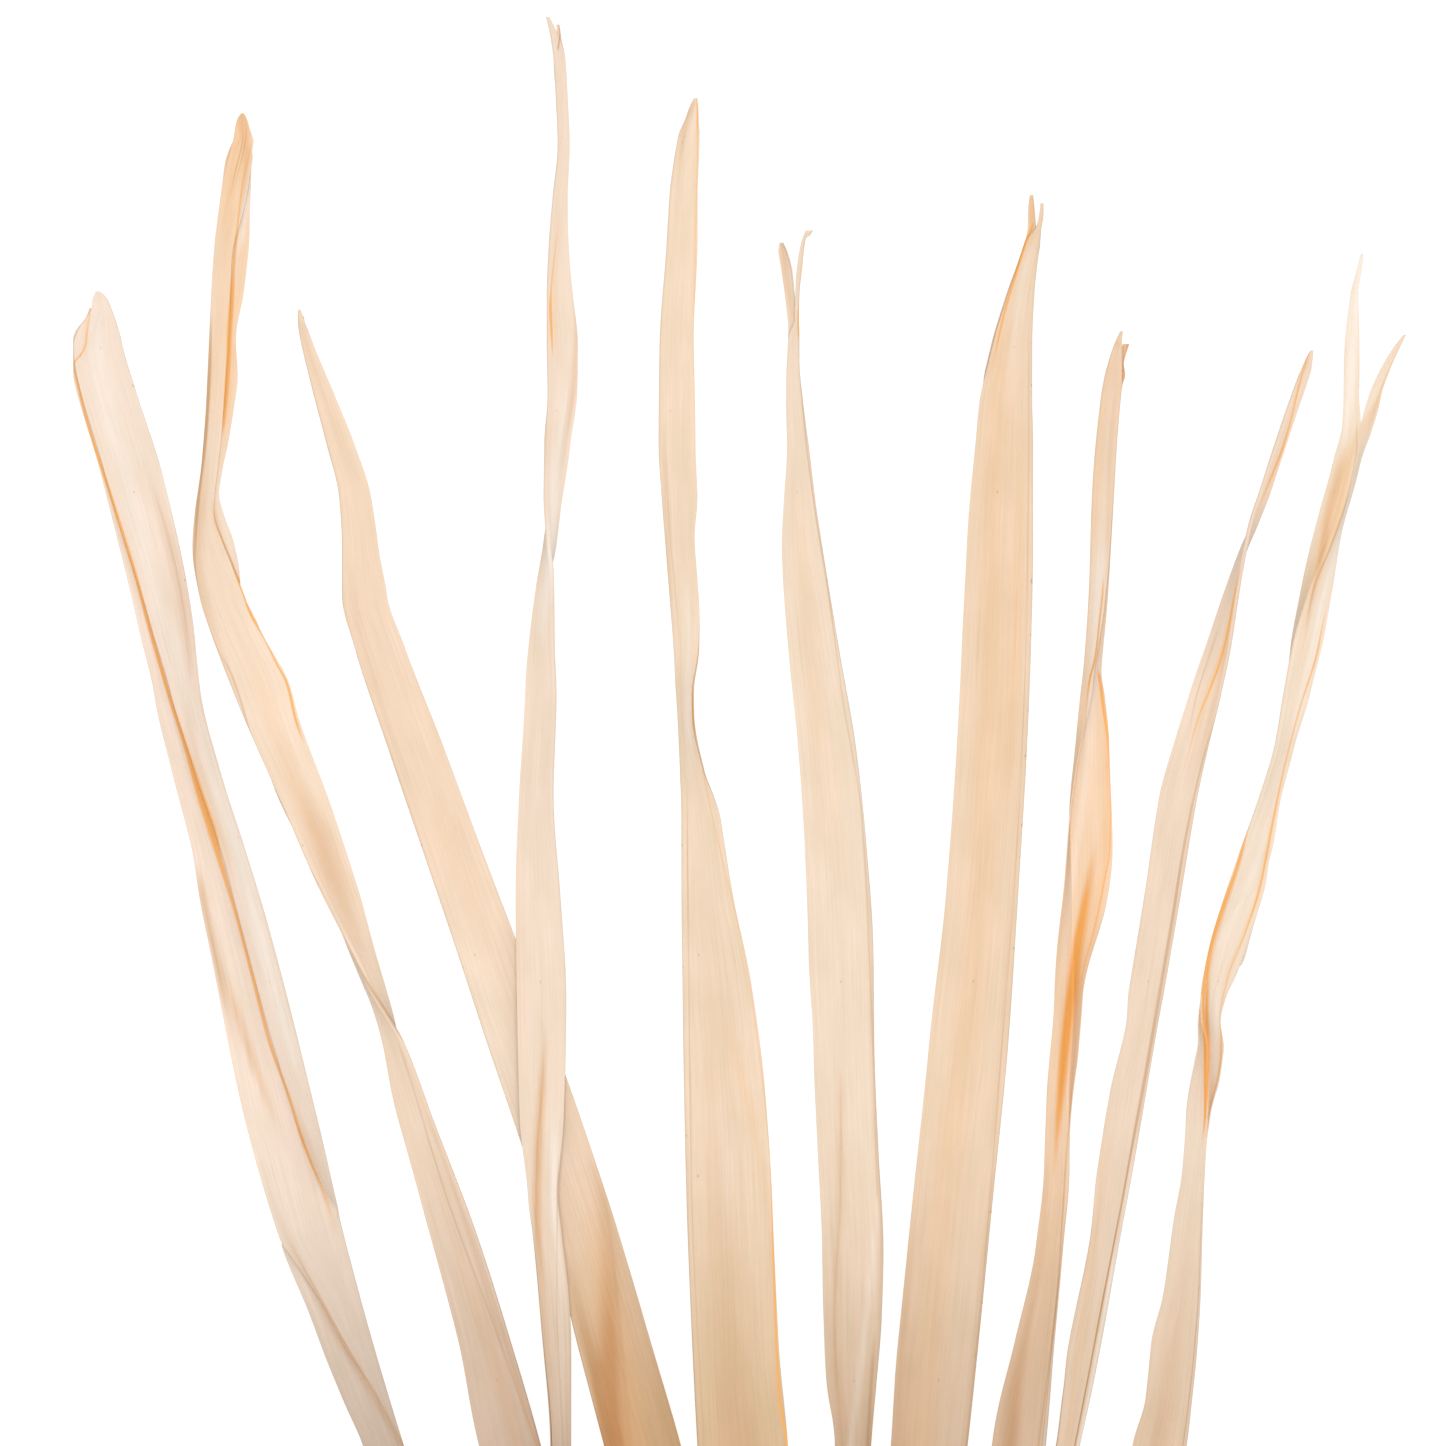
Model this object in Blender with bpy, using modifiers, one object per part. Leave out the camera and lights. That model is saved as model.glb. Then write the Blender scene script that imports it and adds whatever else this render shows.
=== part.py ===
"""Dried palm leaf bouquet: ten folded palm leaflets gathered in a raffia tie, lying on a surface.

Blender 4.5, metres, +Z up. +Y runs from the tie to the leaf tips and +X to the right of the bunch.
"""

import bmesh
import bpy
import numpy as np
from mathutils import Vector

# Driving dimensions, in millimetres
LEAF_THICKNESS = 0.7
FOLD_BEND = 1.0
BOX_MIDDLE = (-24.437, 466.059)
TIED_END = 12.0

# The raffia tie, in millimetres
TIE_LENGTH = 15.0
TIE_MIDDLE = 7.43
TIE_CORE_HALF_WIDTH = 9.3
TIE_CORE_HALF_HEIGHT = 3.3
TIE_CORNER = 3.6
TIE_SIDE_REACH = 26.0
TIE_THICKNESS = 0.8
TIE_TURNS = 5
TIE_RIDGE = 0.15
TIE_AROUND = 28
TIE_ROWS_IN_TURN = 3
KNOT_MIDDLE = (3.0, 0.0, 16.0)
KNOT_SIZE = (7.6, 5.6, 3.4)
TAIL_THICKNESS = 0.8

# The two loose ends of the tie as tracks: along the end, x, y, z, width and tilt
TAILS = (
    (
        (0, 4.0, -0.5, 16.0, 2.6, 0),
        (12, 9.0, -10.0, 17.2, 3.2, 8),
        (26, 15.0, -22.0, 16.4, 3.4, 20),
        (40, 19.0, -35.0, 12.5, 2.4, 30),
    ),
    (
        (0, 2.0, -0.5, 16.0, 2.6, 0),
        (10, -1.5, -9.0, 17.0, 3.2, -6),
        (22, -7.5, -19.0, 16.6, 3.4, -12),
        (33, -11.0, -29.0, 15.6, 2.2, -16),
    ),
)
TAIL_ROWS = 10

# How finely the leaves are divided
HIDDEN_ROW_STEP = 48.0
ROW_STEP = 19.0
FAN_START = 400.0
TIP_ROWS = 5
HALF_STRIPS = 3
LAID_FROM = 120.0
LAID_TO = 420.0

MILLIMETRE = 0.001

# Each leaf is a track of keys from its cut stalk to the place where its tip forks, in mm and degrees:
# up the bunch, across it, height of the midrib, width of the folded blade, roll, gape and cup.
# Roll is the way that the fold opens: 0 to the right, 90 upward, 180 to the left.
# Gape is the angle between the two halves, and cup is how far they bow across.
# Each tip is a track of its own: up, across, height, width and lean of that half.
LEAVES = {
    "palm_leaf_01": {
        "blade": [
            (-58, -0.6, 2.7, 9.6, 180, 0, 0),
            (12, -0.6, 2.7, 10.0, 180, 0, 0),
            (60, -18, 2.8, 12, 180, 1, 0),
            (150, -58, 3.2, 16, 179, 3, 0),
            (300, -117, 4.5, 22, 165, 6, 3),
            (421, -158.8, 5, 25, 125, 9, 6),
            (464, -171.6, 5, 25, 138, 22, 8),
            (508, -183.4, 5, 27.6, 132, 66, 8),
            (552, -193.6, 5, 29, 141, 68, 6),
            (632, -214, 4.5, 25.6, 141, 52, 6),
            (662, -223.2, 4.1, 23.8, 132, 36, 6),
            (692, -232.8, 3.6, 24.5, 127, 25, 6),
            (722, -240.4, 3, 24.5, 128, 18, 5),
            (752, -243.6, 2.5, 25, 143, 17, 4),
            (812, -256, 2, 25, 165, 14, 3),
            (842, -265.6, 2.2, 24.4, 164, 13, 3),
            (862, -271.6, 3, 21.2, 166, 14, 3),
            (868, -273, 3.4, 17.5, 168, 14, 3),
        ],
        "left_tip": [(873, -277.5, 3.0, 9.0, 176), (877, -283.0, 3.2, 2.0, 178)],
        "right_tip": [(876, -275.6, 5.4, 9.2, 164), (881, -277.8, 6.2, 6.0, 164), (883.6, -280.6, 6.8, 1.8, 166)],
    },
    "palm_leaf_02": {
        "blade": [
            (-56, -0.6, 5.1, 10.3, 180, 0, 0),
            (12, -0.6, 5.1, 10.8, 180, 0, 0),
            (60, -11.5, 5.5, 13, 180, 1, 0),
            (150, -37, 7, 16, 180, 3, 0),
            (300, -77, 9, 21, 182, 6, 2),
            (421, -103.6, 12, 25, 187, 8, 4),
            (464, -116, 15, 22.2, 203, 8, 6),
            (508, -130, 18, 21.6, 215, 8, 6),
            (552, -146.8, 21, 19.2, 231, 12, 4),
            (584, -159.2, 22.5, 20, 256, 16, 0),
            (604, -171.2, 22.8, 20, 275, 21, 0),
            (616, -176.8, 23, 20, 279, 26, 0),
            (646, -192, 23.5, 21.5, 294, 38, 0),
            (680, -206.8, 24, 21.8, 298, 60, 0),
            (712, -221.2, 23, 22.4, 312, 58, 0),
            (732, -229.6, 20.2, 24.4, 338, 57, 1),
            (750, -236.4, 17.0, 23.8, 360, 55, 2),
            (760, -239.6, 15, 21, 371, 54, 2),
            (782, -242.8, 11, 18.4, 400, 40, 4),
            (792, -242.4, 9, 16.8, 418, 33, 4),
            (802, -238, 7, 15.2, 447, 30, 2),
            (826, -231.2, 5, 12.8, 460, 47, 0),
            (848, -229.6, 4, 12, 459, 58, 0),
            (870, -228.6, 4, 10.8, 465, 60, 0),
            (892, -227.2, 4, 11.2, 458, 76, 0),
            (920, -224.8, 5, 9.6, 460, 80, 0),
            (930, -222.8, 5.5, 8, 467, 92, 0),
        ],
        "left_tip": [(936, -225.0, 6.8, 4.0, 158), (940, -226.4, 7.4, 1.8, 160)],
        "right_tip": [
            (936, -222.9, 5.4, 4.8, 45),
            (944, -225.4, 7.0, 7.0, 18),
            (950, -225.4, 8.0, 5.4, 12),
            (954.6, -223.8, 9.0, 1.6, 12),
        ],
    },
    "palm_leaf_03": {
        "blade": [
            (-61, -11.6, 7.5, 10.5, 0, 0, 0),
            (12, -11.6, 7.5, 11.0, 0, 0, 0),
            (60, -13.2, 8, 12.4, 0, 1, 0),
            (120, -17, 9, 16, 1, 3, 2),
            (200, -27, 11, 21, 2, 5, 8),
            (300, -47, 12.5, 27, 3, 6, 18),
            (421, -78, 13, 33, 4, 6, 36),
            (462, -88.8, 12.5, 31.6, 4, 7, 34),
            (502, -98.8, 12, 29, 4, 7, 26),
            (542, -111.2, 11, 27.8, 4, 8, 14),
            (582, -124.8, 9.5, 27.2, 5, 8, 6),
            (622, -138, 8.5, 25.6, 6, 8, 3),
            (662, -151.6, 7.5, 24, 7, 9, 2),
            (702, -165.2, 6.5, 22.8, 8, 9, 2),
            (742, -178.4, 5.5, 20.4, 9, 9, 2),
            (762, -183.2, 5.5, 18.4, 9, 8, 2),
            (782, -183.2, 6, 14.8, 8, 8, 2),
            (802, -184.4, 7, 13, 6, 8, 2),
            (822, -189.2, 8, 11.4, 3, 8, 2),
            (842, -194.4, 10, 8.6, 0, 8, 0),
            (862, -199.2, 12.5, 5.0, -2, 8, 0),
            (867, -200.2, 13.2, 4.2, -2, 8, 0),
        ],
        "left_tip": [(871, -200.6, 15.0, 3.0, 4), (876, -200.6, 16.4, 1.3, 6)],
        "right_tip": [(870, -199.9, 12.6, 2.4, -10), (873.4, -199.4, 12.6, 1.2, -12)],
    },
    "palm_leaf_04": {
        "blade": [
            (-55, -0.6, 9.9, 10.3, 180, 0, 0),
            (12, -0.6, 9.9, 10.8, 180, 0, 0),
            (80, -13, 11, 12.5, 180, 1, 0),
            (150, -35, 14, 14.5, 178, 3, 0),
            (250, -66, 16.5, 17, 165, 6, 0),
            (350, -88, 17.5, 19, 130, 9, 2),
            (421, -92, 17.5, 19, 108, 10, 4),
            (464, -91.2, 17.5, 19.5, 121, 10, 8),
            (508, -91.6, 17.5, 19.6, 140, 9, 14),
            (552, -92.4, 17.5, 20.8, 161, 8, 12),
            (600, -93.6, 17, 20.2, 168, 8, 6),
            (642, -96, 16, 18, 186, 8, 3),
            (682, -98.8, 15, 14.5, 204, 8, 2),
            (722, -97.6, 15.5, 13.5, 207, 8, 2),
            (742, -98.4, 16, 13, 225, 10, 0),
            (762, -98.8, 16, 12.6, 244, 14, 0),
            (772, -99.2, 16, 12.4, 256, 17, 0),
            (780, -100.4, 15.5, 12.2, 270, 19, 0),
            (790, -101.2, 15, 12.1, 281, 19, 0),
            (802, -102, 14, 12, 296, 16, 0),
            (822, -102, 11.5, 12, 320, 12, 0),
            (842, -100.8, 9, 12.2, 338, 12, 0),
            (862, -101.2, 7, 12.6, 349, 12, 0),
            (882, -101.2, 6, 10.6, 352, 12, 0),
            (902, -100.4, 6, 8.2, 354, 10, 0),
            (922, -98.8, 7, 6.2, 355, 9, 0),
            (942, -96.8, 9, 5, 355, 8, 0),
            (962, -97.6, 12, 5, 355, 8, 0),
            (976, -98.4, 14.5, 5, 355, 8, 0),
        ],
        "left_tip": [(984, -99.4, 16.6, 3.6, 360), (989, -100.4, 17.8, 2.6, 360), (993, -101.4, 18.8, 1.3, 360)],
        "right_tip": [(982, -97.0, 15.2, 2.6, 345), (990, -97.2, 16.0, 1.3, 340)],
    },
    "palm_leaf_05": {
        "blade": [
            (-59, -10.6, 12.3, 9.6, 0, 0, 0),
            (12, -10.6, 12.3, 10.0, 0, 0, 0),
            (60, -12, 13.9, 12, 0, 1, 0),
            (120, -17, 16.2, 16, 0, 2, 0),
            (200, -24, 18, 22, 0, 3, 1),
            (300, -33, 20.5, 30, 1, 4, 2),
            (421, -40.8, 19.5, 36.4, 3, 5, 3),
            (464, -43, 18, 34.8, 5, 5, 3),
            (520, -45.2, 14.5, 34.6, 8, 6, 3),
            (564, -46.2, 11.5, 32.8, 10, 7, 3),
            (604, -46.8, 9, 28.6, 14, 8, 3),
            (644, -47.2, 6.5, 22.2, 27, 9, 3),
            (672, -47.2, 5, 18.6, 35, 10, 3),
            (692, -47.6, 4.4, 17, 61, 9, 2),
            (712, -48.4, 4, 15.6, 72, 8, 0),
            (724, -49.2, 4, 15, 68, 8, 0),
            (742, -50.4, 4, 13.2, 42, 9, 0),
            (762, -52, 4.4, 13.4, 31, 9, 0),
            (782, -53.6, 5, 13.4, 30, 8, 2),
            (802, -55.2, 5.6, 15.4, 22, 8, 2),
            (822, -56.4, 6.5, 15.2, 12, 8, 2),
            (862, -56, 8.5, 13.9, 6, 8, 2),
            (902, -53.2, 11, 12.6, 4, 8, 2),
            (922, -52, 12.5, 11.4, 3, 8, 2),
            (942, -49.2, 14.5, 9.4, 2, 8, 0),
            (946, -48.4, 15, 8.6, 2, 8, 0),
        ],
        "left_tip": [(950, -47.6, 16.4, 5.0, 6), (952.5, -46.4, 17.2, 2.2, 8)],
        "right_tip": [(952, -45.8, 15.4, 5.6, -4), (957, -44.0, 16.0, 3.6, -6), (960.4, -42.2, 16.6, 1.4, -6)],
    },
    "palm_leaf_06": {
        "blade": [
            (-54, 10.6, 12.3, 9.6, 180, 0, 0),
            (12, 10.6, 12.3, 10.0, 180, 0, 0),
            (60, 11, 13.6, 11, 180, 1, 0),
            (120, 13, 15, 13, 180, 2, 0),
            (200, 16.5, 18, 16, 178, 4, 0),
            (300, 22, 19, 19.5, 158, 7, 2),
            (421, 28, 15, 21.6, 128, 9, 4),
            (448, 30.4, 14.5, 24, 144, 9, 5),
            (472, 32.4, 14, 24.8, 157, 9, 6),
            (500, 33.2, 13, 25, 169, 8, 8),
            (540, 31.2, 12, 24.6, 174, 8, 9),
            (580, 29.6, 11, 24.6, 176, 8, 8),
            (620, 29.2, 10, 26.2, 177, 8, 5),
            (660, 26.6, 8.5, 25, 177, 8, 4),
            (700, 22.4, 7.5, 23.4, 176, 9, 3),
            (740, 15.6, 6.5, 20.6, 175, 10, 3),
            (780, 9, 6, 16.6, 174, 11, 2),
            (800, 6, 6.4, 12.8, 172, 12, 2),
            (820, 3.6, 7, 9.2, 168, 14, 0),
            (840, 1, 8.4, 7, 166, 16, 0),
            (856, -0.4, 9.8, 5.2, 166, 18, 0),
            (866, -0.4, 10.8, 4.6, 168, 20, 0),
        ],
        "left_tip": [
            (872, -1.2, 10.2, 4.0, 182),
            (882, -2.2, 9.8, 4.2, 184),
            (892, -3.2, 9.6, 4.6, 186),
            (899, -5.0, 9.6, 4.0, 186),
            (903, -6.8, 9.6, 1.6, 186),
        ],
        "right_tip": [
            (872, -0.6, 12.6, 1.8, 168),
            (882, -0.4, 14.0, 1.8, 165),
            (892, 0.6, 15.2, 2.4, 162),
            (902, 1.7, 16.4, 1.8, 162),
            (907.5, 2.8, 17.2, 1.2, 170),
        ],
    },
    "palm_leaf_07": {
        "blade": [
            (-60, 11.4, 9.9, 10.3, 180, 0, 0),
            (12, 11.4, 9.9, 10.8, 180, 0, 0),
            (60, 16, 10.6, 13, 180, 1, 0),
            (120, 24.5, 12, 16, 180, 2, 0),
            (200, 36, 13.5, 21, 180, 4, 1),
            (300, 51, 13.5, 26.5, 178, 6, 2),
            (421, 66.8, 11.5, 31, 175, 7, 3),
            (462, 71.2, 10.5, 32.6, 174, 8, 3),
            (522, 77.2, 8.5, 32.4, 174, 8, 3),
            (582, 83.2, 6.8, 32, 174, 8, 3),
            (642, 87.2, 5.5, 29.2, 174, 8, 3),
            (702, 90.8, 4.8, 28.4, 174, 8, 3),
            (742, 92.4, 4.5, 28, 174, 8, 3),
            (782, 93.2, 4.8, 26.8, 174, 8, 3),
            (822, 93.2, 5.6, 23.4, 174, 9, 3),
            (842, 92.8, 6.4, 21, 173, 10, 3),
            (862, 92.8, 7.6, 16.6, 172, 12, 2),
            (882, 93.6, 9.2, 11.4, 171, 14, 0),
            (896, 95.0, 10.6, 7.8, 171, 16, 0),
            (904, 96.0, 11.5, 6.2, 171, 18, 0),
        ],
        "left_tip": [(909, 94.4, 11.2, 3.6, 182), (916, 93.8, 11.4, 2.9, 184), (922, 93.2, 11.8, 1.5, 184)],
        "right_tip": [(909, 96.4, 13.2, 2.4, 168), (914, 97.2, 14.2, 1.9, 168), (918.6, 97.2, 15.0, 1.2, 168)],
    },
    "palm_leaf_08": {
        "blade": [
            (-56, 11.6, 7.5, 10.5, 180, 0, 0),
            (12, 11.6, 7.5, 11.0, 180, 0, 0),
            (60, 19, 7.9, 12, 180, 1, 0),
            (120, 36, 9, 13, 180, 2, 0),
            (200, 58, 11.5, 14.5, 180, 4, 0),
            (300, 79, 12.5, 17, 178, 6, 1),
            (360, 88.9, 11.5, 19, 174, 8, 3),
            (421, 98.2, 7.5, 22, 166, 9, 4),
            (462, 101.6, 6, 19.8, 137, 12, 3),
            (502, 105.2, 4.5, 18, 118, 14, 0),
            (532, 107.6, 3.6, 17, 112, 24, 0),
            (560, 107.4, 3, 16, 102, 38, 0),
            (600, 109.4, 3, 15.2, 98, 40, 0),
            (640, 109.4, 3.6, 18, 72, 60, 0),
            (672, 108.4, 5, 17.2, 53, 75, 0),
            (702, 110.8, 5.4, 14, 52, 60, 0),
            (722, 112.8, 5.2, 12.4, 57, 26, 0),
            (732, 114, 5, 11.6, 65, 16, 0),
            (762, 116, 5.4, 11, 56, 14, 0),
            (802, 117.2, 6, 10.6, 41, 13, 0),
            (842, 120.8, 8, 9, 33, 12, 0),
            (849, 122, 8.6, 8.6, 28, 12, 0),
        ],
        "left_tip": [(856, 123.8, 11.2, 6.0, 28), (862, 125.8, 12.8, 3.8, 28), (867.4, 128.2, 14.0, 1.3, 28)],
        "right_tip": [(856, 126.4, 8.4, 3.6, 12), (862.5, 129.4, 8.4, 2.6, 10)],
    },
    "palm_leaf_09": {
        "blade": [
            (-55, 11.4, 5.1, 10.3, 180, 0, 0),
            (12, 11.4, 5.1, 10.8, 180, 0, 0),
            (60, 20, 5.3, 11, 180, 1, 0),
            (120, 40, 5.8, 11, 180, 2, 0),
            (200, 62, 5.8, 11, 178, 3, 0),
            (300, 87, 4.8, 11, 172, 5, 0),
            (360, 99.8, 4, 11.4, 156, 7, 0),
            (421, 111.8, 4, 12.4, 138, 9, 2),
            (442, 116.4, 4, 15, 137, 9, 2),
            (462, 120.4, 4, 16.2, 142, 9, 2),
            (502, 127.6, 4, 14.6, 144, 9, 2),
            (532, 133.2, 4, 16, 153, 9, 3),
            (562, 138.4, 4, 15.8, 158, 9, 3),
            (590, 143.2, 4, 13.8, 159, 9, 3),
            (604, 145.8, 4, 15.2, 160, 9, 3),
            (642, 152.4, 4, 15.6, 160, 9, 3),
            (682, 159.2, 4.6, 16.2, 162, 9, 3),
            (702, 163.6, 5.6, 14.6, 170, 9, 3),
            (722, 168.4, 7.4, 13, 190, 10, 2),
            (742, 172.4, 9.4, 11, 214, 12, 0),
            (762, 175.2, 10.6, 8.6, 238, 14, 0),
            (782, 178.4, 10.6, 6.5, 270, 15, 0),
            (792, 180.4, 10.2, 5.8, 298, 14, 0),
            (802, 183.6, 9.8, 5.3, 318, 12, 0),
            (822, 190, 9.6, 5.1, 330, 12, 0),
            (842, 196.8, 10, 4.9, 335, 14, 0),
            (851, 200.2, 10.6, 4.4, 336, 16, 0),
        ],
        "left_tip": [(855.5, 202.0, 11.8, 3.2, 345), (859.8, 204.2, 12.8, 1.3, 345)],
        "right_tip": [(855, 202.2, 10.4, 2.6, 325), (858.2, 203.8, 10.6, 1.2, 322)],
    },
    "palm_leaf_10": {
        "blade": [
            (-57, 10.6, 2.7, 9.6, 180, 0, 0),
            (12, 10.6, 2.7, 10.0, 180, 0, 0),
            (60, 26, 2.8, 12, 180, 1, 0),
            (120, 52, 3, 14, 180, 2, 0),
            (200, 85, 3.2, 17, 178, 4, 0),
            (300, 122, 3.4, 20, 172, 7, 2),
            (421, 154.8, 3.4, 22.5, 161, 9, 3),
            (440, 157, 3.4, 20.8, 149, 9, 3),
            (462, 159.2, 3.2, 21, 147, 10, 3),
            (482, 160.4, 3, 18.4, 137, 12, 2),
            (512, 161.2, 2.8, 17, 123, 16, 0),
            (532, 162, 2.6, 15.5, 111, 24, 0),
            (552, 163.2, 2.6, 14.4, 105, 40, 0),
            (580, 163.6, 2.6, 14.4, 87, 40, 0),
            (592, 161.2, 2.7, 14.4, 80, 36, 0),
            (602, 160.8, 2.9, 14.6, 70, 46, 0),
            (610, 162, 3.4, 15, 58, 52, 0),
            (622, 164.4, 4.4, 15.6, 40, 44, 0),
            (642, 170.4, 7, 15.4, 14, 20, 0),
            (662, 177.2, 10.5, 13, -24, 16, 0),
            (682, 184.4, 13.4, 12, -56, 18, 0),
            (702, 190.4, 15.4, 12.4, -65, 22, 0),
            (722, 193.8, 16.4, 13.4, -63, 42, 0),
            (742, 197.6, 17, 15, -67, 50, 0),
            (762, 203.6, 17, 15, -78, 47, 0),
            (795, 216.4, 15.6, 13.6, -105, 46, 0),
            (815, 221.8, 14, 11.6, -108, 56, 0),
            (830, 224.4, 12.6, 8.2, -103, 100, 0),
        ],
        "left_tip": [
            (842, 227.6, 13.8, 5.2, -20),
            (852, 232.0, 15.4, 4.0, -12),
            (862, 238.0, 17.2, 2.4, -8),
            (866, 241.2, 18.0, 1.2, -8),
        ],
        "right_tip": [
            (842, 223.8, 11.2, 6.4, -168),
            (852, 224.0, 10.2, 6.4, -172),
            (862, 224.0, 9.4, 6.0, -174),
            (882, 223.6, 8.4, 3.3, -176),
            (892, 224.8, 8.2, 2.0, -178),
            (898.8, 225.6, 8.2, 1.2, -178),
        ],
    },
}

# Leaves whose lowest point touches the surface
LAID_LEAVES = ("palm_leaf_01", "palm_leaf_10")

LEAF_COLOUR = (0.86, 0.70, 0.53, 1.0)
LEAF_ROUGHNESS = 0.62
RAFFIA_COLOUR = (0.74, 0.55, 0.34, 1.0)
RAFFIA_ROUGHNESS = 0.7


def clear_scene():
    for item in list(bpy.data.objects):
        bpy.data.objects.remove(item, do_unlink=True)


def new_collection(name):
    collection = bpy.data.collections.new(name)
    bpy.context.scene.collection.children.link(collection)
    return collection


def principled(name, colour, roughness):
    material = bpy.data.materials.new(name)
    material.use_nodes = True
    shader = material.node_tree.nodes["Principled BSDF"]
    shader.inputs["Base Color"].default_value = colour
    shader.inputs["Roughness"].default_value = roughness
    shader.inputs["Metallic"].default_value = 0.0
    return material


def smooth_track(keys, column, at):
    """Read one column of a track at the given places, on a smooth curve that never overshoots its keys."""
    x = np.array([key[0] for key in keys], dtype=float)
    y = np.array([key[column] for key in keys], dtype=float)
    step = np.diff(x)
    slope = np.diff(y) / step
    tangent = np.zeros(len(x))
    tangent[0] = slope[0]
    tangent[-1] = slope[-1]
    for i in range(1, len(x) - 1):
        if slope[i - 1] * slope[i] > 0:
            before = 2 * step[i] + step[i - 1]
            after = step[i] + 2 * step[i - 1]
            tangent[i] = (before + after) / (before / slope[i - 1] + after / slope[i])
    i = np.clip(np.searchsorted(x, at, side="right") - 1, 0, len(step) - 1)
    u = (at - x[i]) / step[i]
    start = (2 * u**3 - 3 * u**2 + 1) * y[i] + (u**3 - 2 * u**2 + u) * step[i] * tangent[i]
    end = (3 * u**2 - 2 * u**3) * y[i + 1] + (u**3 - u**2) * step[i] * tangent[i + 1]
    return start + end


def half_track(leaf, side):
    """One half of a leaf from stalk to its own tip: up, across, height, width, lean, turn of the bend, cup."""
    track = []
    for up, across, height, width, roll, gape, cup in leaf["blade"]:
        track.append((up, across, height, width, roll + side * gape / 2, 90 - gape / 2, cup))
    turn = track[-1][5]
    for up, across, height, width, lean in leaf["left_tip" if side > 0 else "right_tip"]:
        track.append((up, across, height, width, nearest_turn(lean, track[-1][4]), turn, 0))
    return track


def nearest_turn(angle, reference):
    """The same direction as angle, written with the whole turns that bring it nearest to reference."""
    return angle + 360 * round((reference - angle) / 360)


def row_places(leaf):
    """Places up the leaf, wider apart where the stalks run together than in the open fan."""
    cut = leaf["blade"][0][0]
    fork = leaf["blade"][-1][0]
    hidden = np.linspace(TIED_END, FAN_START, round((FAN_START - TIED_END) / HIDDEN_ROW_STEP) + 1)
    open_fan = np.linspace(FAN_START, fork, round((fork - FAN_START) / ROW_STEP) + 1)
    return np.concatenate([[cut, -TIED_END], hidden, open_fan[1:]])


def half_points(leaf, side):
    """Points of one half, row by row, each row stepping out from the midrib to the margin."""
    track = half_track(leaf, side)
    rows = row_places(leaf)
    tip = np.linspace(rows[-1], track[-1][0], TIP_ROWS + 1)[1:]
    up = np.concatenate([rows, tip])
    across, height, width, lean, turn, cup = (smooth_track(track, column, up) for column in range(1, 7))
    bend = np.minimum(FOLD_BEND, 0.4 * width)
    points = [np.stack([across, up, height], axis=1)]
    for strip in range(HALF_STRIPS + 1):
        if strip == 0:
            length = bend
            angle = lean + side * turn / 2
        else:
            length = (width - bend) / HALF_STRIPS
            middle = (strip - 0.5) / HALF_STRIPS
            angle = lean + cup * (2 * middle - 1) * np.cos(np.radians(lean))
        radians = np.radians(angle)
        step = np.stack([np.cos(radians) * length, np.zeros(len(up)), np.sin(radians) * length], axis=1)
        points.append(points[-1] + step)
    return np.stack(points, axis=1)


def lay_down(points, lowest):
    """Lower the fan so that its lowest point is just at zero, leaving the stalks where they are."""
    u = np.clip((points[..., 1] - LAID_FROM) / (LAID_TO - LAID_FROM), 0, 1)
    points[..., 2] -= lowest * u * u * (3 - 2 * u)
    return points


def in_the_box(points):
    """Move points from the middle of the tie to the middle of the whole part's footprint."""
    return points - np.array([BOX_MIDDLE[0], BOX_MIDDLE[1], 0.0])


def add_sheet(mesh, points):
    """Add a grid to the mesh, bent to rows of points."""
    rows, columns = points.shape[:2]
    made = bmesh.ops.create_grid(mesh, x_segments=columns - 1, y_segments=rows - 1, size=0.5)
    corners = sorted(made["verts"], key=lambda vertex: (round(vertex.co.y, 5), vertex.co.x))
    flat = points.reshape(-1, 3) * MILLIMETRE
    for vertex, place in zip(corners, flat):
        vertex.co = Vector(place)


def thick_sheet(name, sheets, thickness, material, collection):
    """Make one body of even thickness from sheets that share an edge."""
    mesh = bmesh.new()
    for points in sheets:
        add_sheet(mesh, in_the_box(points))
    bmesh.ops.remove_doubles(mesh, verts=mesh.verts, dist=0.00001)
    bmesh.ops.recalc_face_normals(mesh, faces=mesh.faces)
    data = bpy.data.meshes.new(name)
    mesh.to_mesh(data)
    mesh.free()
    data.materials.append(material)
    data.shade_smooth()
    sheet_object = bpy.data.objects.new(name, data)
    collection.objects.link(sheet_object)
    split = sheet_object.modifiers.new("Split", "TRIANGULATE")
    split.quad_method = "SHORTEST_DIAGONAL"
    body = sheet_object.modifiers.new("Body", "SOLIDIFY")
    body.thickness = thickness * MILLIMETRE
    body.offset = 0.0
    return sheet_object


def build_leaf(name, leaf, material, collection, drop):
    halves = [lay_down(half_points(leaf, side), drop) for side in (1, -1)]
    return thick_sheet(name, halves, LEAF_THICKNESS, material, collection)


def finished_shape(thing):
    """The mesh of an object with its modifiers worked out."""
    bpy.context.view_layer.update()
    depsgraph = bpy.context.evaluated_depsgraph_get()
    return bpy.data.meshes.new_from_object(thing.evaluated_get(depsgraph))


def lowest_of_fan(leaf_object):
    """Lowest point of a leaf's body where the fan is open, in millimetres."""
    shape = finished_shape(leaf_object)
    open_from = (LAID_TO - BOX_MIDDLE[1]) * MILLIMETRE
    lowest = min(vertex.co.z for vertex in shape.vertices if vertex.co.y > open_from)
    bpy.data.meshes.remove(shape)
    return lowest / MILLIMETRE


def build_leaves(material, collection):
    for name, leaf in LEAVES.items():
        leaf_object = build_leaf(name, leaf, material, collection, 0.0)
        if name in LAID_LEAVES:
            drop = lowest_of_fan(leaf_object)
            bpy.data.objects.remove(leaf_object, do_unlink=True)
            build_leaf(name, leaf, material, collection, drop)


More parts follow.
